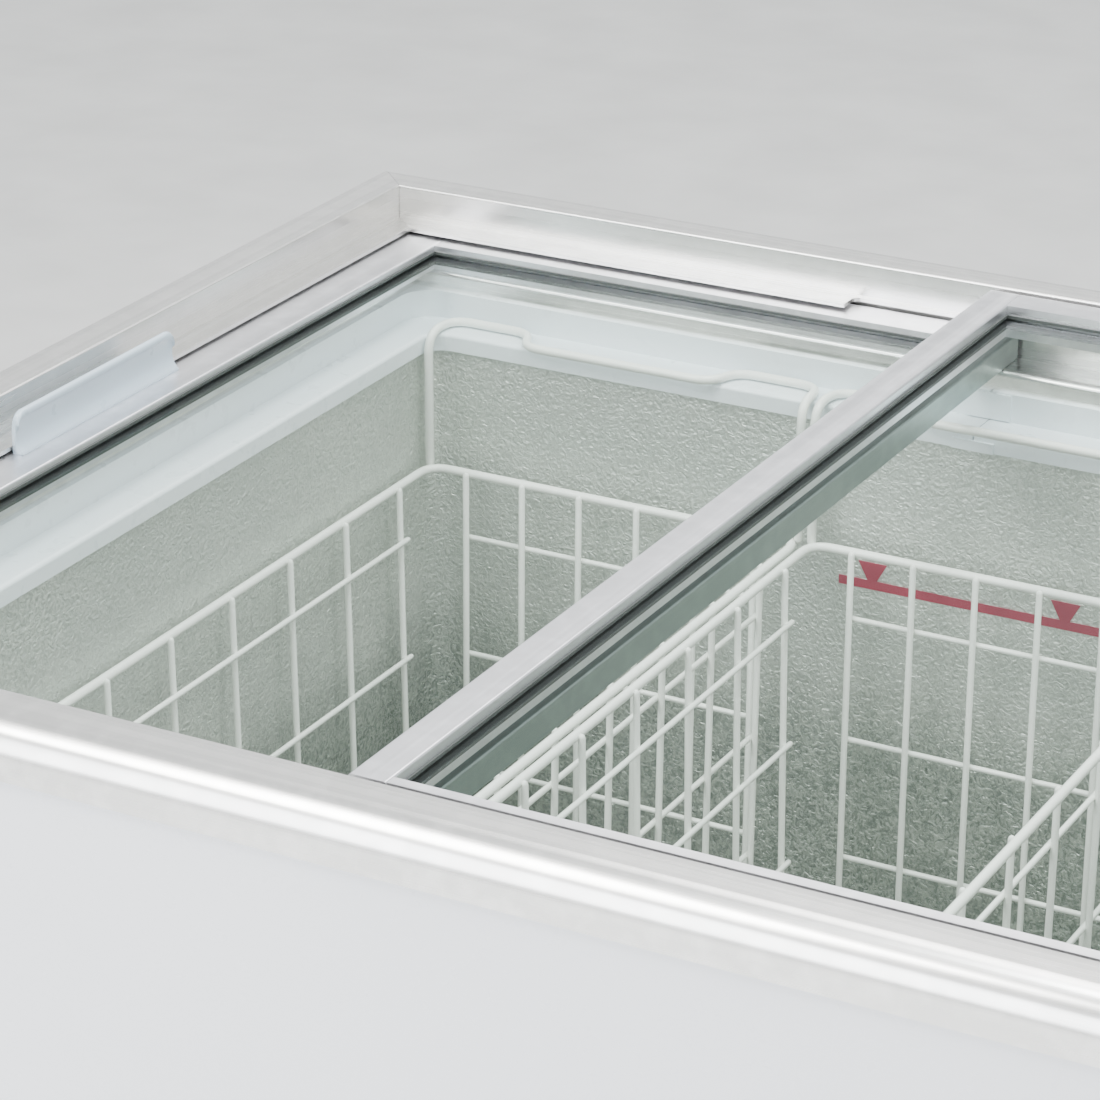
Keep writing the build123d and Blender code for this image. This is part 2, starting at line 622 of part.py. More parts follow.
def sheet_with_holes(y0, y1, half_x, holes):
    """An upright panel made of plain strips round its openings, which stand above one another."""
    z0 = BASE_HEIGHT - PANEL_DROP
    left = min(hole[0] for hole in holes)
    right = max(hole[1] for hole in holes)
    strips = [block(-half_x, left, y0, y1, z0, PANEL_TOP), block(right, half_x, y0, y1, z0, PANEL_TOP)]
    for x0, x1, low, high in holes:
        strips.append(block(left, right, y0, y1, z0, low))
        if x0 > left:
            strips.append(block(left, x0, y0, y1, low, high))
            strips.append(block(x1, right, y0, y1, low, high))
        z0 = high
    strips.append(block(left, right, y0, y1, z0, PANEL_TOP))
    return strips


def opening(half_x, z_mid, half_z):
    """An opening of a panel, over the machine compartment."""
    return (grille_x - half_x, grille_x + half_x, z_mid - half_z, z_mid + half_z)


grille_opening = opening(GRILLE_LENGTH / 2 - GRILLE_BORDER, GRILLE_BOTTOM + GRILLE_HEIGHT / 2,
                         GRILLE_HEIGHT / 2 - GRILLE_BORDER)
inlet_z = GRILLE_BOTTOM + GRILLE_HEIGHT + INLET_RISE
tray_opening = opening(tray_half_x, control_z, tray_half_z)
inlet_opening = opening(INLET_LENGTH / 2, inlet_z, INLET_HEIGHT / 2)
save("panel_front", *sheet_with_holes(-PANEL_Y, -INNER_Y, PANEL_X, [grille_opening, tray_opening]))
save("panel_rear", *sheet_with_holes(INNER_Y, PANEL_Y, PANEL_X, [grille_opening, inlet_opening]))
save("panel_left", block(-PANEL_X, -INNER_X, -INNER_Y, INNER_Y, BASE_HEIGHT - PANEL_DROP, PANEL_TOP))
save("panel_right", block(INNER_X, PANEL_X, -INNER_Y, INNER_Y, BASE_HEIGHT - PANEL_DROP, PANEL_TOP))

base = block(-INNER_X, INNER_X, -INNER_Y, INNER_Y, BASE_HEIGHT, BASE_HEIGHT + BASE_SHEET)
pan_hole = Cylinder(TUBE_OUTER_RADIUS + PAN_HOLE_CLEARANCE, 4 * BASE_SHEET)
base = base - Pos(drain_x, drain_y, BASE_HEIGHT) * pan_hole
save("base_pan", base)


def grille(y_face, outward):
    """Louvred cover over an opening of the machine compartment."""
    y0, y1 = sorted((y_face, y_face + outward * GRILLE_THICK))
    z0 = GRILLE_BOTTOM
    half = GRILLE_LENGTH / 2
    plate = block(grille_x - half, grille_x + half, y0, y1, z0, z0 + GRILLE_HEIGHT)
    plate = fillet(plate.edges().filter_by(Axis.Y), COVER_CORNER_RADIUS)
    pitch = (GRILLE_HEIGHT - 2 * GRILLE_BORDER) / GRILLE_SLOTS
    for row in range(GRILLE_SLOTS):
        z = z0 + GRILLE_BORDER + pitch * (row + 0.5)
        slot = Plane(origin=(grille_x, y_face, z), x_dir=(1, 0, 0), z_dir=(0, -1, 0))
        outline = slot * SlotOverall(GRILLE_LENGTH - 3 * GRILLE_BORDER, GRILLE_SLOT_HEIGHT)
        plate = plate - extrude(outline, amount=2 * GRILLE_THICK, both=True)
    return plate


# The grilles are thinner than the skirt's overhang, so they stay within the footprint.
save("front_grille", grille(-PANEL_Y, -1))
save("rear_grille", grille(PANEL_Y, 1))


def frame_strips(plate, half_x, half_z, z_mid):
    """The four strips that a rectangular opening leaves of a plate or a block."""
    left = grille_x - half_x
    right = grille_x + half_x
    span = CABINET_LENGTH
    regions = [
        block(-span, left, -span, span, 0, RIM_HEIGHT),
        block(right, span, -span, span, 0, RIM_HEIGHT),
        block(left, right, -span, span, 0, z_mid - half_z),
        block(left, right, -span, span, z_mid + half_z, RIM_HEIGHT),
    ]
    return [plate & region for region in regions]


# The control panel is a tray, so the knob stands inside the footprint too.
recess_x = tray_half_x - TRAY_WALL
recess_z = tray_half_z - TRAY_WALL
bezel = block(grille_x - GRILLE_LENGTH / 2, grille_x + GRILLE_LENGTH / 2, -PANEL_Y - GRILLE_THICK,
              -PANEL_Y, control_z - CONTROL_HEIGHT / 2, control_z + CONTROL_HEIGHT / 2)
bezel = fillet(bezel.edges().filter_by(Axis.Y), COVER_CORNER_RADIUS)
tray = block(grille_x - tray_half_x, grille_x + tray_half_x, -PANEL_Y, tray_y + TRAY_WALL,
             control_z - tray_half_z, control_z + tray_half_z)
tray_walls = tray & block(-half_span, half_span, -CABINET_DEPTH, tray_y, 0, RIM_HEIGHT)
tray_floor = tray & block(-half_span, half_span, tray_y, 0, 0, RIM_HEIGHT)
control = frame_strips(bezel, recess_x, recess_z, control_z)
control += frame_strips(tray_walls, recess_x, recess_z, control_z)
save("control_panel", *control, tray_floor - shaft_hole - lamp_holes)
box_y = tray_y + TRAY_WALL
thermostat = Pos(knob_x, box_y + THERMOSTAT_DEPTH / 2, control_z) * Box(
    THERMOSTAT_WIDTH, THERMOSTAT_DEPTH, THERMOSTAT_HEIGHT)
thermostat_bore = rod((knob_x, box_y - 1, control_z), (knob_x, box_y + THERMOSTAT_BORE, control_z),
                      SHAFT_RADIUS + SHAFT_CLEARANCE)
save("thermostat", thermostat - thermostat_bore)
lamp = Rot(90, 0, 0) * Cylinder(LAMP_RADIUS - LAMP_CLEARANCE, LAMP_LENGTH)
save("pilot_lamps", *[Pos(x, tray_y - LAMP_OUT, control_z) * lamp for x in lamp_x])

knob_back = tray_y - KNOB_TURN_GAP
knob = rod((knob_x, knob_back, control_z), (knob_x, knob_back - KNOB_HEIGHT, control_z), KNOB_RADIUS)
knob = fillet(knob.edges().filter_by(GeomType.CIRCLE).group_by(Axis.Y)[0], KNOB_EDGE)
for i in range(KNOB_FLUTES):
    angle = 2 * math.pi * i / KNOB_FLUTES
    x = knob_x + (KNOB_RADIUS + FLUTE_OUT) * math.cos(angle)
    z = control_z + (KNOB_RADIUS + FLUTE_OUT) * math.sin(angle)
    knob = knob - rod((x, knob_back, z), (x, knob_back - 2 * KNOB_HEIGHT, z), FLUTE_RADIUS)
pointer = block(knob_x - POINTER_WIDTH / 2, knob_x + POINTER_WIDTH / 2, knob_back - KNOB_HEIGHT - 1,
                knob_back - KNOB_HEIGHT + POINTER_DEPTH, control_z + POINTER_IN,
                control_z + KNOB_RADIUS - POINTER_IN)
shaft_end = box_y + THERMOSTAT_BORE - 1
shaft = rod((knob_x, knob_back - 1, control_z), (knob_x, shaft_end, control_z), SHAFT_RADIUS)
save("thermostat_knob", knob - pointer + shaft)


def inlet_block(half_x, y0, y1, half_z, x_mid=0):
    """A box of the power inlet, about the inlet's own middle."""
    x = grille_x + x_mid
    return block(x - half_x, x + half_x, PANEL_Y + y0, PANEL_Y + y1, inlet_z - half_z, inlet_z + half_z)


inlet_x = INLET_LENGTH / 2
inlet_half_z = INLET_HEIGHT / 2
pocket_x = inlet_x - INLET_WALL
pocket_z = inlet_half_z - INLET_WALL
flange = inlet_block(inlet_x + INLET_FLANGE, 0, GRILLE_THICK, inlet_half_z + INLET_FLANGE)
sleeve = inlet_block(inlet_x, -INLET_POCKET, 0, inlet_half_z)
inlet = frame_strips(flange, pocket_x, pocket_z, inlet_z)
inlet += frame_strips(sleeve, pocket_x, pocket_z, inlet_z)
inlet.append(inlet_block(inlet_x, -INLET_DEPTH, -INLET_POCKET, inlet_half_z))
for i in (-1, 0, 1):
    pin = inlet_block(INLET_PIN_WIDTH / 2, -INLET_POCKET, -INLET_PIN_SETBACK, INLET_PIN_HEIGHT / 2,
                      INLET_PIN_PITCH * i)
    inlet.append(pin)
save("power_inlet", *inlet)

# ---------------------------------------------------------------- machine compartment
floor_z = BASE_HEIGHT + BASE_SHEET
mount_offsets = four_corners(MOUNT_SPAN_X / 2, MOUNT_SPAN_Y / 2)
mount_points = [(grille_x + dx, COMPRESSOR_Y + dy) for dx, dy in mount_offsets]
mount = Cylinder(MOUNT_RADIUS, MOUNT_HEIGHT) - Cylinder(MOUNT_HOLE_RADIUS, MOUNT_HEIGHT)
save("compressor_mounts", *[Pos(x, y, floor_z + MOUNT_HEIGHT / 2) * mount for x, y in mount_points])

cradle_z = floor_z + MOUNT_HEIGHT
body_z = cradle_z + CRADLE_THICK
cradle = Pos(grille_x, COMPRESSOR_Y, cradle_z + CRADLE_THICK / 2) * Box(
    MOUNT_SPAN_X + 2 * CRADLE_MARGIN, MOUNT_SPAN_Y + 2 * CRADLE_MARGIN, CRADLE_THICK)
cradle_hole = Cylinder(MOUNT_HOLE_RADIUS, 3 * CRADLE_THICK)
cradle = cradle - [Pos(x, y, cradle_z) * cradle_hole for x, y in mount_points]
on_axis = Pos(grille_x, COMPRESSOR_Y, body_z)
shell = on_axis * Pos(0, 0, COMPRESSOR_HEIGHT / 2) * Cylinder(COMPRESSOR_RADIUS, COMPRESSOR_HEIGHT)
shell = fillet(shell.edges().filter_by(GeomType.CIRCLE), COMPRESSOR_DOME)
seam = on_axis * Pos(0, 0, SEAM_RISE) * Cylinder(COMPRESSOR_RADIUS + SEAM_OUT, SEAM_HEIGHT)
stand = on_axis * Pos(0, 0, STAND_HEIGHT / 2) * Cylinder(STAND_RADIUS, STAND_HEIGHT)
stub_end = COMPRESSOR_Y + COMPRESSOR_RADIUS + STUB_OUT
suction_x = grille_x + STUB_OFFSET
suction_z = body_z + SUCTION_RISE
discharge_x = grille_x - STUB_OFFSET
discharge_z = body_z + DISCHARGE_RISE
stub_high = rod((suction_x, COMPRESSOR_Y, suction_z), (suction_x, stub_end, suction_z), SUCTION_STUB_RADIUS)
stub_low = rod((discharge_x, COMPRESSOR_Y, discharge_z), (discharge_x, stub_end, discharge_z),
               DISCHARGE_STUB_RADIUS)
save("compressor", shell + seam + stub_high + stub_low + stand + cradle)
terminal_y = COMPRESSOR_Y - COMPRESSOR_RADIUS
terminal = block(grille_x - TERMINAL_WIDTH / 2, grille_x + TERMINAL_WIDTH / 2, terminal_y - TERMINAL_OUT,
                 terminal_y + TERMINAL_BITE, body_z + TERMINAL_RISE, body_z + TERMINAL_RISE + TERMINAL_HEIGHT)
save("terminal_cover", terminal - shell)

condenser_y = -INNER_Y + CONDENSER_IN
tube_y = condenser_y + CONDENSER_DEPTH / 2
tube_x = CONDENSER_LENGTH / 2 + TUBE_REACH
tube_levels = [floor_z + TUBE_FIRST + TUBE_PITCH * i for i in range(TUBE_ROWS)]
rows = [rod((grille_x - tube_x, tube_y, z), (grille_x + tube_x, tube_y, z), TUBE_RADIUS) for z in tube_levels]
condenser_tube = rows[0] + rows[1:]
fins = []
for i in range(CONDENSER_FINS):
    x = grille_x + CONDENSER_LENGTH * (i / (CONDENSER_FINS - 1) - 0.5)
    fin = block(x - FIN_THICK / 2, x + FIN_THICK / 2, condenser_y, condenser_y + CONDENSER_DEPTH, floor_z,
                floor_z + CONDENSER_HEIGHT)
    fins.append(fin - condenser_tube)
for i, z in enumerate(tube_levels[:-1]):
    x = grille_x + (tube_x - 0.5) * (1 if i % 2 == 0 else -1)
    bend = rod((x, tube_y, z - TUBE_RADIUS), (x, tube_y, z + TUBE_PITCH + TUBE_RADIUS), TUBE_RADIUS)
    condenser_tube = condenser_tube + bend
save("condenser", condenser_tube, *fins)

fan_z = floor_z + FAN_AXIS_RISE
shroud_y = condenser_y + CONDENSER_DEPTH + SHROUD_SHEET
motor_front = shroud_y + MOTOR_SETBACK
shroud = block(grille_x - SHROUD_SIZE / 2, grille_x + SHROUD_SIZE / 2, shroud_y, shroud_y + SHROUD_SHEET,
               floor_z,
               fan_z + FAN_AXIS_RISE)
shroud = shroud - rod((grille_x, shroud_y - 1, fan_z), (grille_x, shroud_y + 2 * SHROUD_SHEET, fan_z),
                      FAN_RADIUS + FAN_TIP_GAP)
arm_x = SHROUD_ARM / 2
arm_end = motor_front + SHROUD_ARM_SHEET
for s in (-1, 1):
    level = fan_z + s * (SHROUD_SIZE / 2 - SHROUD_SHEET)
    z0, z1 = sorted((level + s * SHROUD_SHEET, level - s * SHROUD_SHEET))
    shroud = shroud + block(grille_x - arm_x, grille_x + arm_x, shroud_y, arm_end, z0, z1)
    z0, z1 = sorted((fan_z + s * SHROUD_SIZE / 2, fan_z + s * (SHROUD_SIZE / 2 - SHROUD_ARM_REACH)))
    shroud = shroud + block(grille_x - arm_x, grille_x + arm_x, motor_front + 1, arm_end, z0, z1)
save("fan_shroud", shroud)
motor = rod((grille_x, motor_front, fan_z), (grille_x, motor_front + MOTOR_LENGTH, fan_z), MOTOR_RADIUS)
motor = motor - rod((grille_x, motor_front - 1, fan_z), (grille_x, motor_front + MOTOR_BORE, fan_z),
                    SHAFT_RADIUS + SHAFT_CLEARANCE)
save("fan_motor", motor)
hub_y = shroud_y + 2 * SHROUD_SHEET
fan = rod((grille_x, hub_y, fan_z), (grille_x, hub_y + HUB_LENGTH, fan_z), HUB_RADIUS)
blade_mid = FAN_RADIUS - BLADE_LENGTH / 2
blade = Pos(0, 0, blade_mid) * Rot(0, 0, BLADE_PITCH) * Box(BLADE_WIDTH, BLADE_THICK, BLADE_LENGTH)
for i in range(FAN_BLADES):
    fan = fan + Pos(grille_x, hub_y + HUB_LENGTH / 2, fan_z) * Rot(0, 360 * i / FAN_BLADES, 0) * blade
shaft_end = motor_front + MOTOR_BORE - SHROUD_SHEET
fan = fan + rod((grille_x, hub_y + HUB_LENGTH / 2, fan_z), (grille_x, shaft_end, fan_z), SHAFT_RADIUS)
save("fan_blade", fan)

drier_z = body_z + DRIER_RISE
drier_x = grille_x - DRIER_OFFSET
drier_y = COMPRESSOR_Y + COMPRESSOR_RADIUS + SUCTION_RUN
drier_end = drier_y + DRIER_LENGTH
drier = rod((drier_x, drier_y, drier_z), (drier_x, drier_end, drier_z), DRIER_RADIUS)
drier = fillet(drier.edges().filter_by(GeomType.CIRCLE), DRIER_NECK)
suction_y = COMPRESSOR_Y + COMPRESSOR_RADIUS + SUCTION_RUN
suction_path = [
    (suction_x, stub_end, suction_z),
    (suction_x, suction_y, suction_z),
    (suction_x, suction_y, MACHINE_TOP),
]
suction = bent_rod(suction_path, [SUCTION_BEND], SUCTION_RADIUS)
discharge_y = COMPRESSOR_Y + COMPRESSOR_RADIUS + DISCHARGE_RUN
low_level = drier_z - DRIER_DROP
discharge_path = [
    (discharge_x, stub_end, discharge_z),
    (discharge_x, discharge_y, discharge_z),
    (discharge_x, discharge_y, low_level),
    (drier_x, discharge_y, low_level),
    (drier_x, discharge_y, drier_z),
    (drier_x, drier_y, drier_z),
]
discharge_bends = [DISCHARGE_BEND, DISCHARGE_BEND, DRIER_BEND, DRIER_BEND]
liquid_path = [
    (drier_x, drier_end, drier_z),
    (drier_x, drier_end + LIQUID_RUN, drier_z),
    (drier_x, drier_end + LIQUID_RUN, MACHINE_TOP),
]
liquid = bent_rod(liquid_path, [LIQUID_BEND], DISCHARGE_RADIUS)
discharge = bent_rod(discharge_path, discharge_bends, DISCHARGE_RADIUS)
save("refrigerant_lines", drier, suction, discharge, liquid)

# ---------------------------------------------------------------- drain
drain_top = TANK_FLOOR_HEIGHT - TANK_SHEET
shoulder_z = BASE_HEIGHT - SPOUT_GAP
spout_low = shoulder_z - SPOUT_LENGTH
tube = Pos(drain_x, drain_y, drain_top - 1) * Cylinder(DRAIN_BORE_RADIUS + DRAIN_FLANGE, 2)
tube = tube + rod((drain_x, drain_y, shoulder_z), (drain_x, drain_y, drain_top - 1), TUBE_OUTER_RADIUS)
tube = tube + rod((drain_x, drain_y, spout_low), (drain_x, drain_y, shoulder_z), SPOUT_RADIUS)
tube = tube - rod((drain_x, drain_y, spout_low - 1), (drain_x, drain_y, TANK_FLOOR_HEIGHT), TUBE_INNER_RADIUS)
save("drain_tube", tube)
plug_top = TANK_FLOOR_HEIGHT + PLUG_HEAD
plug = rod((drain_x, drain_y, TANK_FLOOR_HEIGHT + PLUG_GAP), (drain_x, drain_y, plug_top), PLUG_RADIUS)
plug = plug + rod((drain_x, drain_y, TANK_FLOOR_HEIGHT - PLUG_STEM), (drain_x, drain_y, plug_top),
                  TUBE_INNER_RADIUS - PLUG_GAP)
plug = plug + block(drain_x - PLUG_TAB_WIDTH / 2, drain_x + PLUG_TAB_WIDTH / 2, drain_y - PLUG_TAB_THICK / 2,
                    drain_y + PLUG_TAB_THICK / 2, plug_top, plug_top + PLUG_TAB_HEIGHT)
save("drain_plug", plug)


# ---------------------------------------------------------------- lids
def handle(direction, top_z):
    """Finger grip on a lid's end member: a foot and a fin. The fin is on the outer side."""
    outer = FACE_X - HANDLE_OUT
    frame = Plane(origin=(0, HANDLE_LENGTH / 2, 0), x_dir=(1, 0, 0), z_dir=(0, -1, 0))
    outline = Polyline(
        (outer, top_z),
        (outer - HANDLE_FOOT, top_z),
        (outer - HANDLE_FOOT, top_z + HANDLE_FOOT_THICK),
        (outer - HANDLE_FIN, top_z + 3 * HANDLE_FOOT_THICK),
        (outer - HANDLE_FIN, top_z + HANDLE_RISE),
        (outer, top_z + HANDLE_RISE),
        (outer, top_z),
    )
    piece = extrude(frame * make_face(outline), amount=HANDLE_LENGTH)
    piece = fillet(piece.edges().filter_by(Axis.X).group_by(Axis.Z)[-1], HANDLE_CORNER_RADIUS)
    return piece if direction > 0 else Rot(0, 0, 180) * piece


def lid(name, x_end, x_meet, z0, thick, rear_member, end_member, front_member, front_bite):
    """A sliding lid: two side members, an end member, a meeting bar, glass, gasket and handle."""
    end_dir = 1 if x_end > x_meet else -1
    z1 = z0 + thick
    end_inner = x_end - end_dir * end_member
    meet_inner = x_meet + end_dir * LID_MEETING_BAR
    glass_low = z0 + (thick - GLASS_THICK) / 2
    glass_high = glass_low + GLASS_THICK
    seal_low = glass_low - GASKET_THICK
    seal_high = glass_high + GASKET_THICK
    gx = sorted((end_inner + end_dir * GLASS_BITE, meet_inner - end_dir * GLASS_BITE))
    inner_x = sorted((end_inner, meet_inner))
    inner_y = (-LID_Y + front_member, LID_Y - rear_member)
    gy = (inner_y[0] - front_bite, inner_y[1] + GLASS_BITE)
    save(name + "_glass", block(*gx, *gy, glass_low, glass_high))
    slot = block(*gx, *gy, seal_low, seal_high)
    gap = GASKET_GAP
    seal = block(gx[0] + gap, gx[1] - gap, gy[0] + gap, gy[1] - gap, seal_low, seal_high)
    seal = seal - block(inner_x[0] + 1, inner_x[1] - 1, inner_y[0] + 1, inner_y[1] - 1, z0, z1)
    save(name + "_gasket", seal - block(*gx, *gy, glass_low, glass_high))
    end_bar = block(*sorted((x_end, end_inner)), -LID_Y, LID_Y, z0, z1) - slot
    meeting_bar = block(*sorted((x_meet, meet_inner)), -LID_Y, LID_Y, z0, z1) - slot
    front_rail = block(*inner_x, -LID_Y, inner_y[0], z0, z1) - slot
    rear_rail = block(*inner_x, inner_y[1], LID_Y, z0, z1) - slot
    save(name + "_end_bar", fillet(end_bar.edges().filter_by(Axis.Y).group_by(Axis.Z)[-1], 1))
    save(name + "_meeting_bar", fillet(meeting_bar.edges().filter_by(Axis.Y).group_by(Axis.Z)[-1], 1))
    save(name + "_side_rails", front_rail, rear_rail)
    save(name + "_handle", handle(end_dir, z1))


lower_end = -FACE_X + LID_CLEARANCE
upper_end = FACE_X - LID_CLEARANCE
lid("lower_lid", lower_end, MEETING_X + LID_MEETING_BAR / 2, LOWER_LID_Z, LOWER_LID_THICK, LOWER_MEMBER,
    LOWER_END_MEMBER, LOWER_MEMBER, GLASS_BITE)
lid("upper_lid", upper_end, MEETING_X - LID_MEETING_BAR / 2, UPPER_LID_Z, UPPER_LID_THICK, LID_MEMBER,
    LID_MEMBER, UPPER_FRONT_MEMBER, NARROW_BITE)

stops = []
for sx, sy in four_corners(1, 1):
    x = sorted((sx * FACE_X, sx * (FACE_X - LID_CLEARANCE + LID_RUNNING_GAP)))
    y_mid = sy * FACE_Y * STOP_SPREAD
    z0 = STOP_RISE + (UPPER_LID_Z if sx > 0 else LOWER_LID_Z)
    stops.append(block(*x, y_mid - STOP_LENGTH / 2, y_mid + STOP_LENGTH / 2, z0, z0 + STOP_HEIGHT))
save("lid_stops", *stops)

# ---------------------------------------------------------------- baskets
ring_z = RIM_HEIGHT - BASKET_RING_DROP
basket_low = ring_z - BASKET_DEPTH


def flat_grid(plane, half_width, top, bottom, wires, pitch, rows):
    """Upright wires crossed by level rows, one wire thick. The plane's Y is up."""
    grid = Sketch()
    for i in range(wires):
        x = pitch * (i - (wires - 1) / 2)
        grid = grid + Pos(x, (top + bottom) / 2) * Rectangle(GRID_WIRE, top - bottom)
    reach = pitch * (wires - 1) / 2 + WIRE_END
    for z in rows:
        grid = grid + Pos(0, z) * Rectangle(2 * min(reach, half_width), GRID_WIRE)
    return extrude(plane * grid, amount=GRID_WIRE / 2, both=True)


def basket(x_mid):
    """Ring with two hangers, four wall grids and a floor grid."""
    half_x = BASKET_LENGTH_X / 2
    half_y = BASKET_LENGTH_Y / 2
    w = RING_WIRE
    ring = block(-half_x, half_x, -half_y, half_y, ring_z - w / 2, ring_z + w / 2)
    ring = ring - block(-half_x + w, half_x - w, -half_y + w, half_y - w, 0, RIM_HEIGHT)
    outer_corners = ring.edges().filter_by(Axis.Z).group_by(lambda e: abs(e.center().X))[-1]
    ring = fillet(outer_corners, BASKET_CORNER_RADIUS)
    solids = [ring]
    grip_z = SHELF_TOP + w / 2 + HANGER_REST_GAP
    shelf_y = FACE_Y - HANGER_SHELF_IN
    grip_y = FACE_Y - HANGER_GRIP_IN
    shoulder = half_x - HANGER_SHOULDER
    z0 = grip_z - w / 2
    z1 = grip_z + w / 2
    for side in (-1, 1):
        riser_y = side * (half_y - w / 2)
        grip = block(-shoulder - w, shoulder + w, side * grip_y - w / 2, side * grip_y + w / 2, z0, z1)
        for sx in (-1, 1):
            x = sx * (half_x - w / 2)
            solids.append(block(x - w / 2, x + w / 2, riser_y - w / 2, riser_y + w / 2, ring_z + w / 2, z0))
            y = sorted((riser_y - side * w / 2, side * (shelf_y + w / 2)))
            grip = grip + block(x - w / 2, x + w / 2, y[0], y[1], z0, z1)
            xs = sorted((sx * half_x, sx * shoulder))
            grip = grip + block(xs[0], xs[1], side * shelf_y - w / 2, side * shelf_y + w / 2, z0, z1)
            step_y = sorted((side * (shelf_y + w / 2), side * (grip_y - w / 2)))
            step_x = sorted((sx * shoulder, sx * (shoulder + w)))
            grip = grip + block(step_x[0], step_x[1], step_y[0], step_y[1], z0, z1)
        solids.append(grip)
    top = ring_z - w / 2
    bottom = basket_low + GRID_WIRE
    inset = w / 2
    for side in (-1, 1):
        end_plane = Plane(origin=(0, side * (half_y - inset), 0), x_dir=(1, 0, 0), z_dir=(0, -1, 0))
        rows = [ring_z - FIRST_ROW_DROP_END - ROW_PITCH * i for i in range(ROWS)]
        solids.append(flat_grid(end_plane, half_x - w, top, bottom, END_WIRES, END_WIRE_PITCH, rows))
        side_plane = Plane(origin=(side * (half_x - inset), 0, 0), x_dir=(0, 1, 0), z_dir=(1, 0, 0))
        rows = [ring_z - FIRST_ROW_DROP_SIDE - ROW_PITCH * i for i in range(ROWS)]
        solids.append(flat_grid(side_plane, half_y - w, top, bottom, SIDE_WIRES, SIDE_WIRE_PITCH, rows))
    floor = Sketch()
    for i in range(END_WIRES):
        x = END_WIRE_PITCH * (i - (END_WIRES - 1) / 2)
        floor = floor + Pos(x, 0) * Rectangle(GRID_WIRE, BASKET_LENGTH_Y - w + GRID_WIRE)
    for i in range(SIDE_WIRES):
        y = SIDE_WIRE_PITCH * (i - (SIDE_WIRES - 1) / 2)
        floor = floor + Pos(0, y) * Rectangle(BASKET_LENGTH_X - w + GRID_WIRE, GRID_WIRE)
    solids.append(extrude(Plane.XY.offset(basket_low) * floor, amount=GRID_WIRE))
    return [Pos(x_mid, 0, 0) * solid for solid in solids]


for number in range(BASKET_COUNT):
    start = -FACE_X + BASKET_START_IN + number * (BASKET_LENGTH_X + BASKET_GAP)
    save(f"basket_{number + 1}", *basket(start + BASKET_LENGTH_X / 2))

# ---------------------------------------------------------------- castors
castor_x = CABINET_LENGTH / 2 - CASTOR_IN_X
castor_y = CABINET_DEPTH / 2 - CASTOR_IN_Y


def wheel(x, y):
    """Tyre and hub, with a bore for its axle."""
    z = WHEEL_RADIUS
    tyre = Pos(x, y, z) * Rot(0, 90, 0) * Cylinder(WHEEL_RADIUS, WHEEL_WIDTH)
    tyre = fillet(tyre.edges().filter_by(GeomType.CIRCLE), TYRE_EDGE)
    for s in (-1, 1):
        face = x + s * WHEEL_WIDTH / 2
        dish = face - s * HUB_DISH
        tyre = tyre - rod((dish, y, z), (face + s, y, z), WHEEL_RADIUS - TYRE_DEPTH)
        tyre = tyre + rod((dish - s, y, z), (face, y, z), AXLE_RADIUS + HUB_RING)
    return tyre - rod((x - WHEEL_WIDTH, y, z), (x + WHEEL_WIDTH, y, z), AXLE_RADIUS + AXLE_CLEARANCE)


def fork(x, y, trail, top):
    """Two cheeks, a crown and an axle. The wheel sits behind the crown by the trail."""
    cheek = WHEEL_WIDTH / 2 + CHEEK_GAP
    crown_z = 2 * WHEEL_RADIUS + CROWN_GAP
    crown = Pos(x, y, crown_z + FORK_SHEET / 2) * Box(2 * (cheek + FORK_SHEET), CROWN_DEPTH, FORK_SHEET)
    wheel_y = y + trail
    piece = crown + rod((x, y, crown_z), (x, y, top), SWIVEL_RADIUS)
    for s in (-1, 1):
        plane = Plane(origin=(x + s * cheek, 0, 0), x_dir=(0, 1, 0), z_dir=(1, 0, 0))
        outline = make_face(Polyline(
            (y - CROWN_DEPTH / 2, crown_z + FORK_SHEET),
            (y + CROWN_DEPTH / 2, crown_z + FORK_SHEET),
            (wheel_y + CHEEK_TIP, WHEEL_RADIUS - CHEEK_LOW),
            (wheel_y - CHEEK_TIP, WHEEL_RADIUS - CHEEK_LOW),
            (y - CROWN_DEPTH / 2, crown_z + FORK_SHEET),
        ))
        piece = piece + extrude(plane * outline, amount=s * FORK_SHEET)
    reach = cheek + FORK_SHEET + AXLE_OUT
    return piece + rod((x - reach, wheel_y, WHEEL_RADIUS), (x + reach, wheel_y, WHEEL_RADIUS), AXLE_RADIUS)


plates = []
for sx, sy in four_corners(castor_x, castor_y):
    plate = Pos(sx, sy, BASE_HEIGHT - PLATE_THICK / 2) * Box(PLATE_SIZE, PLATE_SIZE, PLATE_THICK)
    plates.append(fillet(plate.edges().filter_by(Axis.Z), PLATE_CORNER_RADIUS))
save("castor_plates", *plates)
plate_low = BASE_HEIGHT - PLATE_THICK
sides = {"left": -castor_x, "right": castor_x}
rear_forks = []
for side_name, x in sides.items():
    save(f"front_fork_{side_name}", fork(x, -castor_y, CASTOR_TRAIL, plate_low - SWIVEL_GAP))
    save(f"front_wheel_{side_name}", wheel(x, -castor_y + CASTOR_TRAIL))
    rear_forks.append(fork(x, castor_y, -CASTOR_TRAIL, plate_low))
    save(f"rear_wheel_{side_name}", wheel(x, castor_y - CASTOR_TRAIL))
save("rear_forks", *rear_forks)
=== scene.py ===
import json
import math

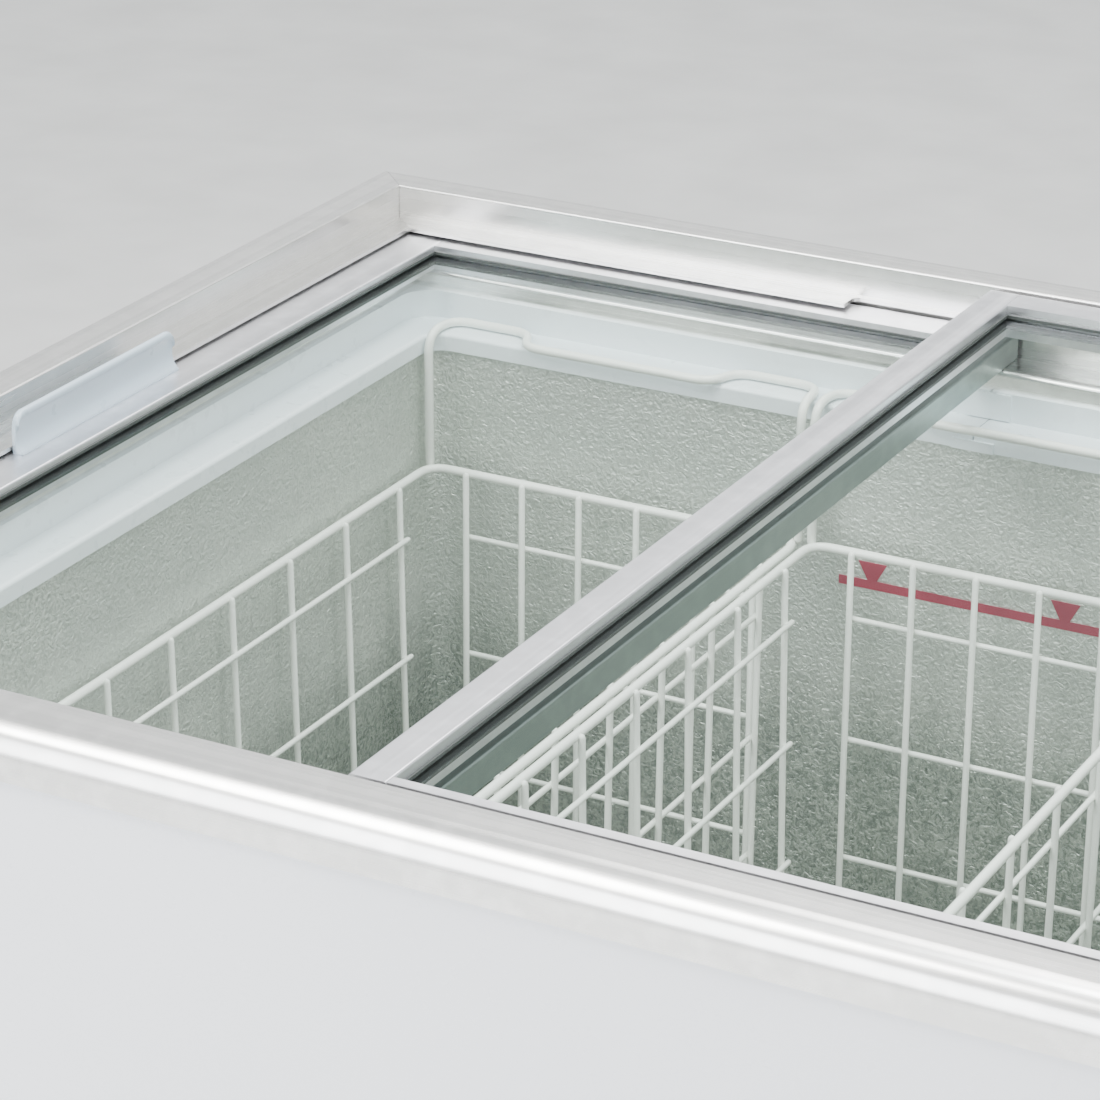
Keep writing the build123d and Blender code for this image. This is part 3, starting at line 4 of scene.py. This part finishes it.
import bpy
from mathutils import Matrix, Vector


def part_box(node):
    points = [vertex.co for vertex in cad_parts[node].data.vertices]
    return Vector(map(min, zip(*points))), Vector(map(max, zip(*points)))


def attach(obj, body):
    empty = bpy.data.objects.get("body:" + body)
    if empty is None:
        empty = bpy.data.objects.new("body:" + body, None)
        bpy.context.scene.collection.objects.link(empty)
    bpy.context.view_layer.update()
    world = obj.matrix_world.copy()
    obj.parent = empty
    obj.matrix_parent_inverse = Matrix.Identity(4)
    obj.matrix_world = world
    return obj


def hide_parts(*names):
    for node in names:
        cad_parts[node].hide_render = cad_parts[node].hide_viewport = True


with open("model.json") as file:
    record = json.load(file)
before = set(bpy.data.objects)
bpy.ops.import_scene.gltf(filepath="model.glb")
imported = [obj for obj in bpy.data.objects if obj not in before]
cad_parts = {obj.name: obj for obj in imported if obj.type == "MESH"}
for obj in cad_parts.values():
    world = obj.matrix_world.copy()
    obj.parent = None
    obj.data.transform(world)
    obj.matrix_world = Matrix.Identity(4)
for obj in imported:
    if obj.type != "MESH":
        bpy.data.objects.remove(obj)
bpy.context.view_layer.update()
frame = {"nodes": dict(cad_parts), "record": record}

NODES = frame["nodes"]
SLOT_OF = {row["node"]: row["material_slot"] for row in frame["record"]["subparts"]}


# ------------------------------------------------------------------ camera, stage, light
CAMERA_PLACE = (0.6351, -1.3339, 1.4862)
CAMERA_AZIMUTH = 28.5           # degrees to the right of straight in front
CAMERA_ELEVATION = 23.1         # degrees that the camera looks down
LENS = 127.6                    # mm
SENSOR = 36.0                   # mm
FLOOR_REACH = 40.0              # from the middle to each side
FLOOR_COLOUR = (0.78, 0.78, 0.77)
SKY_COLOUR = (0.91, 0.94, 0.95, 1)
SKY_STRENGTH = 1.2
WELL = (0, 0, 0.8)
FRONT_PANEL = (0, -0.3, 0.6)
LIGHTS = (                      # name, place, target, size in metres, watts, colour
    ("window_behind", (-0.4, 1.9, 3.6), WELL, 1.6, 70, (1.0, 0.99, 0.97)),
    ("key_right", (1.9, -0.4, 2.9), WELL, 1.0, 58, (1.0, 0.99, 0.96)),
    ("fill_front", (-0.8, -2.4, 1.3), FRONT_PANEL, 1.6, 62, (0.94, 0.97, 1.0)),
    ("over_the_rim", (-0.9, -1.1, 2.5), WELL, 0.9, 48, (1.0, 1.0, 0.98)),
    ("into_the_well", (0.1, 0.0, 2.4), WELL, 0.5, 34, (0.97, 1.0, 1.0)),
)


def make_camera():
    """The scene's camera, at the viewing angle that shows the well from the front right."""
    data = bpy.data.cameras.new("camera")
    data.lens = LENS
    data.sensor_width = SENSOR
    camera = bpy.data.objects.new("camera", data)
    camera.location = CAMERA_PLACE
    tilt = math.radians(90 - CAMERA_ELEVATION)
    camera.rotation_euler = (tilt, 0, math.radians(CAMERA_AZIMUTH))
    bpy.context.scene.collection.objects.link(camera)
    bpy.context.scene.camera = camera


def area_light(name, place, target, size, power, color):
    """A square soft light that faces its target."""
    data = bpy.data.lights.new(name, "AREA")
    data.size = size
    data.energy = power
    data.color = color
    lamp = bpy.data.objects.new(name, data)
    lamp.location = place
    lamp.rotation_euler = (Vector(target) - Vector(place)).to_track_quat("-Z", "Y").to_euler()
    bpy.context.scene.collection.objects.link(lamp)


def make_stage():
    """A plain pale floor, a soft sky and the soft lights."""
    mesh = bpy.data.meshes.new("floor")
    signs = ((-1, -1), (1, -1), (1, 1), (-1, 1))
    corners = [(x * FLOOR_REACH, y * FLOOR_REACH, 0) for x, y in signs]
    mesh.from_pydata(corners, [], [(0, 1, 2, 3)])
    floor = bpy.data.objects.new("floor", mesh)
    bpy.context.scene.collection.objects.link(floor)
    matt = surface("floor_matt", FLOOR_COLOUR, 0.7, grain=40, depth=0.0002)
    floor.data.materials.append(matt)
    world = bpy.data.worlds.new("soft_sky")
    world.use_nodes = True
    sky = world.node_tree.nodes["Background"]
    sky.inputs["Color"].default_value = SKY_COLOUR
    sky.inputs["Strength"].default_value = SKY_STRENGTH
    bpy.context.scene.world = world
    for light in LIGHTS:
        area_light(*light)


# ------------------------------------------------------------------ materials
MIX_FIRST, MIX_SECOND, MIX_RESULT = 6, 7, 2     # a Mix node's colour sockets
DRIFT_SCALE = 7
WEAR_SCALE = 90
WEAR_EDGES = (0.53, 0.62)       # pointiness where wear starts and is full
WEAR_GAPS = (0.45, 0.65)        # noise that breaks the wear up
WORN_METAL = 1.12               # how much lighter a worn metal edge is
GLOSS_COARSER = 6               # the gloss varies this many times more broadly than the grain
LEAST_ROUGHNESS = 0.03
COAT_ROUGHNESS = 0.12


def link(tree, source, target):
    tree.links.new(source, target)


def noise(tree, scale, stretch=(1, 1, 1), detail=4.0, distortion=0.0):
    """A noise texture in object space. Scale is in features per metre."""
    place = tree.nodes.new("ShaderNodeTexCoord")
    mapping = tree.nodes.new("ShaderNodeMapping")
    mapping.inputs["Scale"].default_value = stretch
    texture = tree.nodes.new("ShaderNodeTexNoise")
    texture.inputs["Scale"].default_value = scale
    texture.inputs["Detail"].default_value = detail
    texture.inputs["Distortion"].default_value = distortion
    link(tree, place.outputs["Object"], mapping.inputs["Vector"])
    link(tree, mapping.outputs["Vector"], texture.inputs["Vector"])
    return texture.outputs["Fac"]


def spread(tree, value, low, high, start=0.3, stop=0.7):
    """Maps a value from the range start..stop to low..high."""
    node = tree.nodes.new("ShaderNodeMapRange")
    for key, number in (("From Min", start), ("From Max", stop), ("To Min", low), ("To Max", high)):
        node.inputs[key].default_value = number
    link(tree, value, node.inputs["Value"])
    return node.outputs["Result"]


def blend_colours(tree, fac, first, second):
    """A colour between two others. Each is a tuple or a socket."""
    node = tree.nodes.new("ShaderNodeMix")
    node.data_type = "RGBA"
    link(tree, fac, node.inputs["Factor"])
    for socket, colour in ((node.inputs[MIX_FIRST], first), (node.inputs[MIX_SECOND], second)):
        if isinstance(colour, tuple):
            socket.default_value = colour + (1,)
        else:
            link(tree, colour, socket)
    return node.outputs[MIX_RESULT]


def bump(tree, height, depth, normal=None, strength=1.0):
    """A bump whose full height is depth metres."""
    node = tree.nodes.new("ShaderNodeBump")
    node.inputs["Distance"].default_value = depth
    node.inputs["Strength"].default_value = strength
    link(tree, height, node.inputs["Height"])
    if normal is not None:
        link(tree, normal, node.inputs["Normal"])
    return node.outputs["Normal"]


def shade(colour, factor):
    return tuple(min(1.0, channel * factor) for channel in colour)


def new_material(name):
    """An empty node material, its tree and its principled shader."""
    material = bpy.data.materials.new(name)
    material.use_nodes = True
    tree = material.node_tree
    return material, tree, tree.nodes["Principled BSDF"]


def edge_wear(tree):
    """1 on sharp outer edges, broken up by noise, and 0 elsewhere."""
    geometry = tree.nodes.new("ShaderNodeNewGeometry")
    edges = spread(tree, geometry.outputs["Pointiness"], 0, 1, *WEAR_EDGES)
    node = tree.nodes.new("ShaderNodeMath")
    node.operation = "MULTIPLY"
    link(tree, edges, node.inputs[0])
    link(tree, spread(tree, noise(tree, WEAR_SCALE), 0, 1, *WEAR_GAPS), node.inputs[1])
    return node.outputs["Value"]


def surface(name, colour, roughness, metallic=0.0, grain=300, depth=0.00005,
            stretch=(1, 1, 1), vary=0.06, coat=0.0, worn=None, sheen_spots=0.08):
    """A moulded, painted or metal surface with fine grain, broad colour drift and uneven gloss."""
    material, tree, shader = new_material(name)
    drift = spread(tree, noise(tree, DRIFT_SCALE, detail=3), 0, 1)
    base = blend_colours(tree, drift, shade(colour, 1 - vary), shade(colour, 1 + vary))
    if worn is not None:
        base = blend_colours(tree, edge_wear(tree), base, worn)
    link(tree, base, shader.inputs["Base Color"])
    gloss = noise(tree, grain / GLOSS_COARSER, stretch)
    low = max(LEAST_ROUGHNESS, roughness - sheen_spots)
    link(tree, spread(tree, gloss, low, roughness + sheen_spots), shader.inputs["Roughness"])
    fine = bump(tree, noise(tree, grain, stretch, detail=5), depth)
    link(tree, fine, shader.inputs["Normal"])
    shader.inputs["Metallic"].default_value = metallic
    shader.inputs["Coat Weight"].default_value = coat
    shader.inputs["Coat Roughness"].default_value = COAT_ROUGHNESS
    return material


STREAK_LONG = 0.012             # stretch of the die lines' noise along the extrusion
STREAK_ACROSS = 3.0             # and across it


def drawn_aluminium(name, colour, along, roughness=0.27):
    """Satin anodised extrusion with fine die lines along one axis."""
    stretch = tuple(STREAK_LONG if axis == along else STREAK_ACROSS for axis in range(3))
    return surface(name, colour, roughness, metallic=1.0, grain=420, depth=0.000012,
                   stretch=stretch, vary=0.035, worn=shade(colour, WORN_METAL),
                   sheen_spots=0.06)


STUCCO_SCALE = 300              # the embossing's two sizes, in features per metre
STUCCO_CELLS = 430
STUCCO_DEPTH = 0.0011
STUCCO_CELL_DEPTH = 0.00035
STUCCO_EDGE = (0.40, 0.60)
STUCCO_METALLIC = 0.7
# Each pair: the colour in the embossing's hollows (painted shade) and on its peaks (painted
# highlight); the first pair lower down, the second high up.
LOWER_RELIEF_SHADE_COLOURS = ((0.27, 0.305, 0.275), (0.58, 0.62, 0.565))
UPPER_RELIEF_SHADE_COLOURS = ((0.57, 0.61, 0.565), (0.78, 0.81, 0.755))
DUST_COLOUR = (0.62, 0.655, 0.615)
UPPER_RISE = (0.66, 0.72)       # heights in metres where the lighter, rougher upper colour starts and is full
UPPER_RAGGED = 0.06             # how far noise moves the upper colour's edge, in metres
UPPER_ROUGHNESS = (0.26, 0.42)  # roughness lower down, high up


def stucco_aluminium(name):
    """Embossed tank sheet: fine worm-like grain with painted shade in its hollows and painted
    highlight on its peaks, lighter and rougher high up, darker lower down.
    """
    material, tree, shader = new_material(name)
    grain = noise(tree, STUCCO_SCALE, detail=3, distortion=1.8)
    cells = tree.nodes.new("ShaderNodeTexVoronoi")
    cells.inputs["Scale"].default_value = STUCCO_CELLS
    place = tree.nodes.new("ShaderNodeTexCoord")
    link(tree, place.outputs["Object"], cells.inputs["Vector"])
    split = tree.nodes.new("ShaderNodeSeparateXYZ")
    link(tree, place.outputs["Object"], split.inputs["Vector"])
    ragged = tree.nodes.new("ShaderNodeMath")
    ragged.operation = "MULTIPLY_ADD"
    ragged.inputs[1].default_value = UPPER_RAGGED
    link(tree, noise(tree, 46, (1, 1, 0.16), detail=5), ragged.inputs[0])
    link(tree, split.outputs["Z"], ragged.inputs[2])
    upper_share = spread(tree, ragged.outputs["Value"], 0, 1, *UPPER_RISE)
    # painted shade in the embossing's hollows and painted highlight on its peaks: dark where the
    # grain's bump is low, light where it is high
    lower_relief_shade = blend_colours(tree, spread(tree, grain, 0, 1, *STUCCO_EDGE), *LOWER_RELIEF_SHADE_COLOURS)
    upper_relief_shade = blend_colours(tree, spread(tree, grain, 0, 1, *STUCCO_EDGE), *UPPER_RELIEF_SHADE_COLOURS)
    drift = spread(tree, noise(tree, 9, detail=4), 0, 1)
    upper_colour = blend_colours(tree, drift, upper_relief_shade, DUST_COLOUR)
    # The colour is lighter high up and darker towards the bottom of the tank.
    link(tree, blend_colours(tree, upper_share, lower_relief_shade, upper_colour), shader.inputs["Base Color"])
    link(tree, spread(tree, upper_share, *UPPER_ROUGHNESS, 0, 1), shader.inputs["Roughness"])
    shader.inputs["Metallic"].default_value = STUCCO_METALLIC
    first = bump(tree, grain, STUCCO_DEPTH)
    second = bump(tree, cells.outputs["Distance"], STUCCO_CELL_DEPTH, first)
    link(tree, second, shader.inputs["Normal"])
    return material


GLASS_IOR = 1.45
GLASS_TINTS = ((0.975, 0.99, 0.983), (0.955, 0.98, 0.97))       # clean, smeared
MIRROR_TINTS = ((0.20, 0.215, 0.21), (0.52, 0.55, 0.54))
MIRROR_ROUGHNESS = (0.01, 0.05)


def pane_glass(name):
    """Thin clear glass with a faint green tint and a few smears."""
    material, tree, shader = new_material(name)
    tree.nodes.remove(shader)
    through = tree.nodes.new("ShaderNodeBsdfTransparent")
    smear = spread(tree, noise(tree, 6, (1, 3, 1), detail=6), 0, 1, 0.35, 0.75)
    tint = blend_colours(tree, smear, *GLASS_TINTS)
    link(tree, tint, through.inputs["Color"])
    mirror = tree.nodes.new("ShaderNodeBsdfGlossy")
    veil = spread(tree, noise(tree, 3.5, (2.2, 0.5, 1), detail=2), 0, 1, 0.35, 0.65)
    link(tree, blend_colours(tree, veil, *MIRROR_TINTS), mirror.inputs["Color"])
    link(tree, spread(tree, smear, *MIRROR_ROUGHNESS, 0, 1), mirror.inputs["Roughness"])
    fresnel = tree.nodes.new("ShaderNodeFresnel")
    fresnel.inputs["IOR"].default_value = GLASS_IOR
    # Only the face that a ray enters by mirrors; the face that it leaves by doesn't.
    geometry = tree.nodes.new("ShaderNodeNewGeometry")
    outside = tree.nodes.new("ShaderNodeMath")
    outside.operation = "SUBTRACT"
    outside.inputs[0].default_value = 1.0
    link(tree, geometry.outputs["Backfacing"], outside.inputs[1])
    strength = tree.nodes.new("ShaderNodeMath")
    strength.operation = "MULTIPLY"
    link(tree, fresnel.outputs["Fac"], strength.inputs[0])
    link(tree, outside.outputs["Value"], strength.inputs[1])
    mix = tree.nodes.new("ShaderNodeMixShader")
    link(tree, strength.outputs["Value"], mix.inputs[0])
    link(tree, through.outputs["BSDF"], mix.inputs[1])
    link(tree, mirror.outputs["BSDF"], mix.inputs[2])
    link(tree, mix.outputs["Shader"], tree.nodes["Material Output"].inputs["Surface"])
    return material


ALUMINIUM = (0.86, 0.85, 0.83)
LID_TINT = (0.80, 0.80, 0.83)
# Painted shade: the lower lid's meeting bar gets this dark green-grey for the shadow it lies in
# under the upper lid.
LID_PAINTED_SHADE = (0.30, 0.36, 0.34)
MATERIALS = {
    "rim_x": drawn_aluminium("rim_satin_x", ALUMINIUM, 0),
    "rim_y": drawn_aluminium("rim_satin_y", ALUMINIUM, 1),
    "lid_x": drawn_aluminium("lid_satin_x", LID_TINT, 0, 0.33),
    "lid_y": drawn_aluminium("lid_satin_y", LID_TINT, 1, 0.33),
    "lid_painted_shade": drawn_aluminium("lid_satin_painted_shade", LID_PAINTED_SHADE, 1, 0.38),
    "steel": surface("zinc_steel", (0.60, 0.61, 0.62), 0.35, 1.0, grain=160, depth=0.00003,
                     vary=0.10),
    "white_plastic": surface("collar_plastic", (0.80, 0.86, 0.895), 0.32, grain=500,
                             depth=0.00002, coat=0.25,
                             vary=0.03),
    "stucco_aluminium": stucco_aluminium("tank_stucco"),
    "red_film": surface("load_line_red", (0.30, 0.03, 0.06), 0.45, grain=600, depth=0.00003,
                        vary=0.12),
    "copper": surface("drawn_copper", (0.72, 0.38, 0.24), 0.3, 1.0, grain=120, depth=0.00003,
                      vary=0.14),
    "foam": surface("expanded_foam", (0.80, 0.70, 0.44), 0.9, grain=260, depth=0.0009, vary=0.10),
    "white_paint": surface("powder_coat_white", (0.87, 0.885, 0.93), 0.3, grain=330,
                           depth=0.00006, coat=0.3,
                           vary=0.02),
    "grey_plastic": surface("control_grey", (0.36, 0.38, 0.40), 0.45, grain=700, depth=0.00008),
    "black_plastic": surface("black_plastic", (0.025, 0.025, 0.028), 0.42, grain=700, depth=0.00008,
                             worn=(0.12, 0.12, 0.12)),
    "lamp_lens": surface("lamp_green", (0.10, 0.50, 0.16), 0.15, grain=200, depth=0.00002,
                         coat=0.5),
    "rubber": surface("seal_rubber", (0.045, 0.052, 0.05), 0.5, grain=500, depth=0.00006),
    "black_paint": surface("compressor_black", (0.02, 0.02, 0.02), 0.38, grain=240, depth=0.0001,
                           coat=0.2,
                           worn=(0.2, 0.2, 0.2)),
    "condenser_metal": surface("condenser_metal", (0.66, 0.67, 0.66), 0.4, 1.0, grain=200,
                               depth=0.00004),
    "castor_tyre": surface("castor_tyre", (0.10, 0.10, 0.105), 0.6, grain=420, depth=0.00012,
                           worn=(0.22, 0.22, 0.21)),
    "coated_wire": surface("wire_coating", (0.86, 0.875, 0.83), 0.36, grain=260, depth=0.00016,
                           coat=0.35,
                           vary=0.035),
    "glass": pane_glass("lid_glass"),
    "handle_plastic": surface("grip_plastic", (0.41, 0.50, 0.575), 0.33, grain=420, depth=0.00003,
                              coat=0.3,
                              worn=(0.78, 0.83, 0.86)),
}


def material_for(node):
    """The material of a CAD node: extrusions get die lines along their own length."""
    slot = SLOT_OF[node]
    low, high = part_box(node)
    axis = "x" if high[0] - low[0] > high[1] - low[1] else "y"
    if slot == "rim_aluminium":
        return MATERIALS["rim_" + axis]
    # painted shade: the lower meeting bar is darkened for the shadow it lies in under the upper lid
    if node == "lower_lid_meeting_bar":
        return MATERIALS["lid_painted_shade"]
    if slot == "lid_aluminium":
        return MATERIALS["lid_x" if "side_rails" in node else "lid_y"]
    return MATERIALS[slot]


def dress_cad_nodes():
    """Gives every CAD node its procedural material."""
    for node, piece in NODES.items():
        piece.data.materials.clear()
        piece.data.materials.append(material_for(node))


# ------------------------------------------------------------------ wire work
WIRE_RESOLUTION = 3             # bevel resolution of a round wire
BEND_STEPS = 6
BEND_SHARE = 0.48               # most of a run that one bend may take
CAP_STEP = 0.3                  # a rounded end's first step, in wire radii
CAP_RADII = (0.35, 0.75)        # and its first two radii, as shares of the wire's


def rounded_path(points, bend):
    """The points of a path whose corners are arcs of about the bend radius."""
    path = [Vector(points[0])]
    for before, corner, after in zip(points, points[1:], points[2:]):
        corner = Vector(corner)
        back = Vector(before) - corner
        ahead = Vector(after) - corner
        reach = min(bend, BEND_SHARE * back.length, BEND_SHARE * ahead.length)
        start = corner + back.normalized() * reach
        stop = corner + ahead.normalized() * reach
        for step in range(BEND_STEPS + 1):
            t = step / BEND_STEPS
            path.append((1 - t) ** 2 * start + 2 * t * (1 - t) * corner + t ** 2 * stop)
    path.append(Vector(points[-1]))
    return path


def add_wire(curve, path, closed=False):
    """One wire. Open ends are rounded off, as dipped ends are."""
    radii = [1.0] * len(path)
    if not closed:
        cap = curve.bevel_depth
        first = (path[1] - path[0]).normalized()
        last = (path[-2] - path[-1]).normalized()
        head = [path[0], path[0] + first * cap * CAP_STEP]
        tail = [path[-1] + last * cap * CAP_STEP, path[-1]]
        path = head + [path[0] + first * cap] + path[1:-1] + [path[-1] + last * cap] + tail
        radii = [*CAP_RADII] + [1.0] * (len(path) - 4) + [*reversed(CAP_RADII)]
    spline = curve.splines.new("POLY")
    spline.points.add(len(path) - 1)
    for point, place, radius in zip(spline.points, path, radii):
        point.co = (*place, 1)
        point.radius = radius
    spline.use_cyclic_u = closed


def new_wires(name, radius):
    """An empty curve for round wires of one radius."""
    curve = bpy.data.curves.new(name, "CURVE")
    curve.dimensions = "3D"
    curve.bevel_depth = radius
    curve.bevel_resolution = WIRE_RESOLUTION
    curve.use_fill_caps = True
    return curve


def join_wires(name, curves):
    """One mesh piece from several curves."""
    vertices = []
    faces = []
    for curve in curves:
        holder = bpy.data.objects.new(curve.name, curve)
        mesh = bpy.data.meshes.new_from_object(holder)
        base = len(vertices)
        vertices.extend(tuple(vertex.co) for vertex in mesh.vertices)
        faces.extend(tuple(base + index for index in face.vertices) for face in mesh.polygons)
        bpy.data.objects.remove(holder)
    return new_piece(name, vertices, faces)


def new_piece(name, vertices, faces):
    """A smooth-shaded mesh object in the scene."""
    mesh = bpy.data.meshes.new(name)
    mesh.from_pydata(vertices, [], faces)
    mesh.validate()
    mesh.update()
    piece = bpy.data.objects.new(name, mesh)
    bpy.context.scene.collection.objects.link(piece)
    for face in mesh.polygons:
        face.use_smooth = True
    return piece


# ------------------------------------------------------------------ baskets
RING_RADIUS = 0.00225
UPRIGHT_RADIUS = 0.0016
ROW_RADIUS = 0.0014
RING_CORNER = 0.012
RING_BELOW_GRIP = 0.0710        # grip's centre line to the ring's
BASKET_END_IN = 0.02525         # how far the ring's centre stands inside the hangers' outer face
END_WIRES = 6
END_PITCH = 0.032
SIDE_WIRES = 9
SIDE_PITCH = 0.051
ROW_PITCH = 0.064
ROWS = 5
FIRST_ROW_END = 0.034
FIRST_ROW_SIDE = 0.027
STUB = 0.0045
TAPER = 0.004
SHOULDER = 0.045
GRIP_IN = 0.018                 # shelf run to grip run, across the step
HANGER_BEND = 0.012
RISER_IN = 0.0004               # a hanger's risers, inside the ring's centre line
RISER_FOOT = 0.001              # how far the risers go below that line
SHELF_END_IN = 0.001            # the shelf run's outer ends, in from the risers
STEP_RUN = 0.006                # the step from shelf to grip, along the hanger
UPRIGHT_OFF = 0.45              # an upright's centre, in its radii inside the ring's surface
TOP_RISE = 0.55                 # uprights' tops, in ring radii above the ring's centre line
ROW_OFF = 0.6                   # a row's centre, in its radii off the uprights' surface
ROW_PAST = 0.8                  # end rows past the last upright, in upright radii


def spaced(count, pitch):
    """Evenly spaced positions about zero."""
    return [pitch * (index - (count - 1) / 2) for index in range(count)]


def make_basket(node, body):
    """Welded wire basket: a ring, two hangers, four wall grids and a floor grid."""
    low, high = (Vector(corner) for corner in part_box(node))
    middle = (low + high) / 2
    half_x = (high.x - low.x) / 2 - RING_RADIUS
    hang_y = (high.y - low.y) / 2 - RING_RADIUS
    half_y = hang_y - BASKET_END_IN + RING_RADIUS
    grip_z = high.z - RING_RADIUS
    ring_z = grip_z - RING_BELOW_GRIP
    floor_z = low.z + UPRIGHT_RADIUS
    thick = new_wires(node + "_ring_wire", RING_RADIUS)
    upright = new_wires(node + "_upright_wire", UPRIGHT_RADIUS)
    row_wire = new_wires(node + "_row_wire", ROW_RADIUS)

    def at(x, y, z):
        return Vector((middle.x + x, middle.y + y, z))

    corners = ((half_x, -half_y), (half_x, half_y), (-half_x, half_y), (-half_x, -half_y))
    start = at(0, -half_y, ring_z)
    loop = [start] + [at(x, y, ring_z) for x, y in corners] + [start]
    add_wire(thick, rounded_path(loop, RING_CORNER)[:-1], closed=True)

    for side in (-1, 1):
        grip_y = side * (hang_y - GRIP_IN)
        shelf_y = side * hang_y
        riser_y = side * (half_y - RISER_IN)
        inner = half_x - SHOULDER
        route = [at(-half_x, riser_y, ring_z - RISER_FOOT), at(-half_x, riser_y, grip_z)]
        route += [at(-half_x + SHELF_END_IN, shelf_y, grip_z), at(-inner, shelf_y, grip_z)]
        route += [at(-inner + STEP_RUN, grip_y, grip_z), at(inner - STEP_RUN, grip_y, grip_z)]
        route += [at(inner, shelf_y, grip_z), at(half_x - SHELF_END_IN, shelf_y, grip_z)]
        route += [at(half_x, riser_y, grip_z), at(half_x, riser_y, ring_z - RISER_FOOT)]
        add_wire(thick, rounded_path(route, HANGER_BEND))

    inset = RING_RADIUS + UPRIGHT_RADIUS * UPRIGHT_OFF
    top = ring_z + RING_RADIUS * TOP_RISE
    for side in (-1, 1):
        y_top = side * (half_y - inset)
        y_low = side * (half_y - inset - TAPER)
        for x in spaced(END_WIRES, END_PITCH):
            add_wire(upright, [at(x, y_top, top), at(x, y_low, floor_z)])
        for row in range(ROWS):
            drop = FIRST_ROW_END + ROW_PITCH * row
            lean = TAPER * drop / (ring_z - floor_z)
            y = side * (half_y - inset - lean + UPRIGHT_RADIUS + ROW_RADIUS * ROW_OFF)
            reach = END_PITCH * (END_WIRES - 1) / 2 + UPRIGHT_RADIUS * ROW_PAST
            add_wire(row_wire, [at(-reach, y, ring_z - drop), at(reach, y, ring_z - drop)])
        x_top = side * (half_x - inset)
        x_low = side * (half_x - inset - TAPER)
        for y in spaced(SIDE_WIRES, SIDE_PITCH):
            add_wire(upright, [at(x_top, y, top), at(x_low, y, floor_z)])
        for row in range(ROWS):
            drop = FIRST_ROW_SIDE + ROW_PITCH * row
            lean = TAPER * drop / (ring_z - floor_z)
            x = side * (half_x - inset - lean - UPRIGHT_RADIUS - ROW_RADIUS * ROW_OFF)
            reach = SIDE_PITCH * (SIDE_WIRES - 1) / 2 + STUB
            add_wire(row_wire, [at(x, -reach, ring_z - drop), at(x, reach, ring_z - drop)])
    floor_y = half_y - inset - TAPER
    floor_x = half_x - inset - TAPER
    for x in spaced(END_WIRES, END_PITCH):
        add_wire(upright, [at(x, -floor_y, floor_z), at(x, floor_y, floor_z)])
    cross_z = floor_z + UPRIGHT_RADIUS
    for y in spaced(SIDE_WIRES, SIDE_PITCH):
        add_wire(row_wire, [at(-floor_x, y, cross_z), at(floor_x, y, cross_z)])

    piece = join_wires(node + "_wire", [thick, upright, row_wire])
    piece.data.materials.append(MATERIALS["coated_wire"])
    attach(piece, body)
    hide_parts(node)


# ------------------------------------------------------------------ lid grips
GRIP_STATIONS = 48
GRIP_END_ROUND = 0.005
FIN_THICK = 0.0024
FOOT_THICK = 0.0009
FLARE_SHARE = 0.42              # share of the height where the foot flares out
FLARE_POWER = 2.6
FLARE_STEPS = 9
BEAD_RADIUS = 0.0019
BEAD_OUT = 0.0003               # gap from the section's outer side to the bead
BEAD_FOOT = 2.2                 # where the bead meets the fin, in bead radii below the top
BEAD_START = -60                # degrees
BEAD_SWEEP = 240
BEAD_STEPS = 8


def grip_section(width, height):
    """Closed outline of the grip's section: (in from the fin's outer face, up)."""
    flare_top = FLARE_SHARE * height
    bead_foot = height - BEAD_FOOT * BEAD_RADIUS
    outline = [(0.0, 0.0), (width, 0.0), (width, FOOT_THICK)]
    for step in range(1, FLARE_STEPS):
        t = step / FLARE_STEPS
        inward = FIN_THICK + (width - FIN_THICK) * (1 - t) ** FLARE_POWER
        outline.append((inward, FOOT_THICK + (flare_top - FOOT_THICK) * t))
    outline.append((FIN_THICK, flare_top))
    outline.append((FIN_THICK, bead_foot))
    for step in range(BEAD_STEPS + 1):
        angle = math.radians(BEAD_START + BEAD_SWEEP * step / BEAD_STEPS)
        outline.append((BEAD_RADIUS + BEAD_OUT + BEAD_RADIUS * math.cos(angle),
                        height - BEAD_RADIUS + BEAD_RADIUS * math.sin(angle)))
    outline.append((0.0, bead_foot))
    return outline


def make_grip(node, body, outward):
    """Moulded finger grip: a thin upright fin with a bead on top and a flared foot."""
    low, high = (Vector(corner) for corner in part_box(node))
    outer_x = high.x if outward > 0 else low.x
    section = grip_section(high.x - low.x, high.z - low.z)
    length = high.y - low.y
    vertices = []
    for station in range(GRIP_STATIONS + 1):
        t = station / GRIP_STATIONS
        y = low.y + length * (0.5 - 0.5 * math.cos(math.pi * t))
        end = min(y - low.y, high.y - y)
        short = max(0.0, GRIP_END_ROUND - end)
        drop = GRIP_END_ROUND - math.sqrt(max(0.0, GRIP_END_ROUND ** 2 - short ** 2))
        for inward, up in section:
            lowered = up - drop if up > 2 * GRIP_END_ROUND else up
            vertices.append((outer_x - outward * inward, y, low.z + max(0.0, lowered)))
    count = len(section)
    faces = []
    for station in range(GRIP_STATIONS):
        for index in range(count):
            first = station * count + index
            second = station * count + (index + 1) % count
            faces.append((first, second, second + count, first + count))
    faces.append(tuple(reversed(range(count))))
    faces.append(tuple(range(GRIP_STATIONS * count, (GRIP_STATIONS + 1) * count)))
    if outward > 0:
        faces = [tuple(reversed(face)) for face in faces]
    piece = new_piece(node + "_shape", vertices, faces)
    piece.data.materials.append(MATERIALS["handle_plastic"])
    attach(piece, body)
    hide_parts(node)


# ------------------------------------------------------------------ build
make_camera()
make_stage()
dress_cad_nodes()
make_basket("basket_1", "basket_1_body")
make_basket("basket_2", "basket_2_body")
make_grip("lower_lid_handle", "lower_lid", -1)
make_grip("upper_lid_handle", "upper_lid", 1)
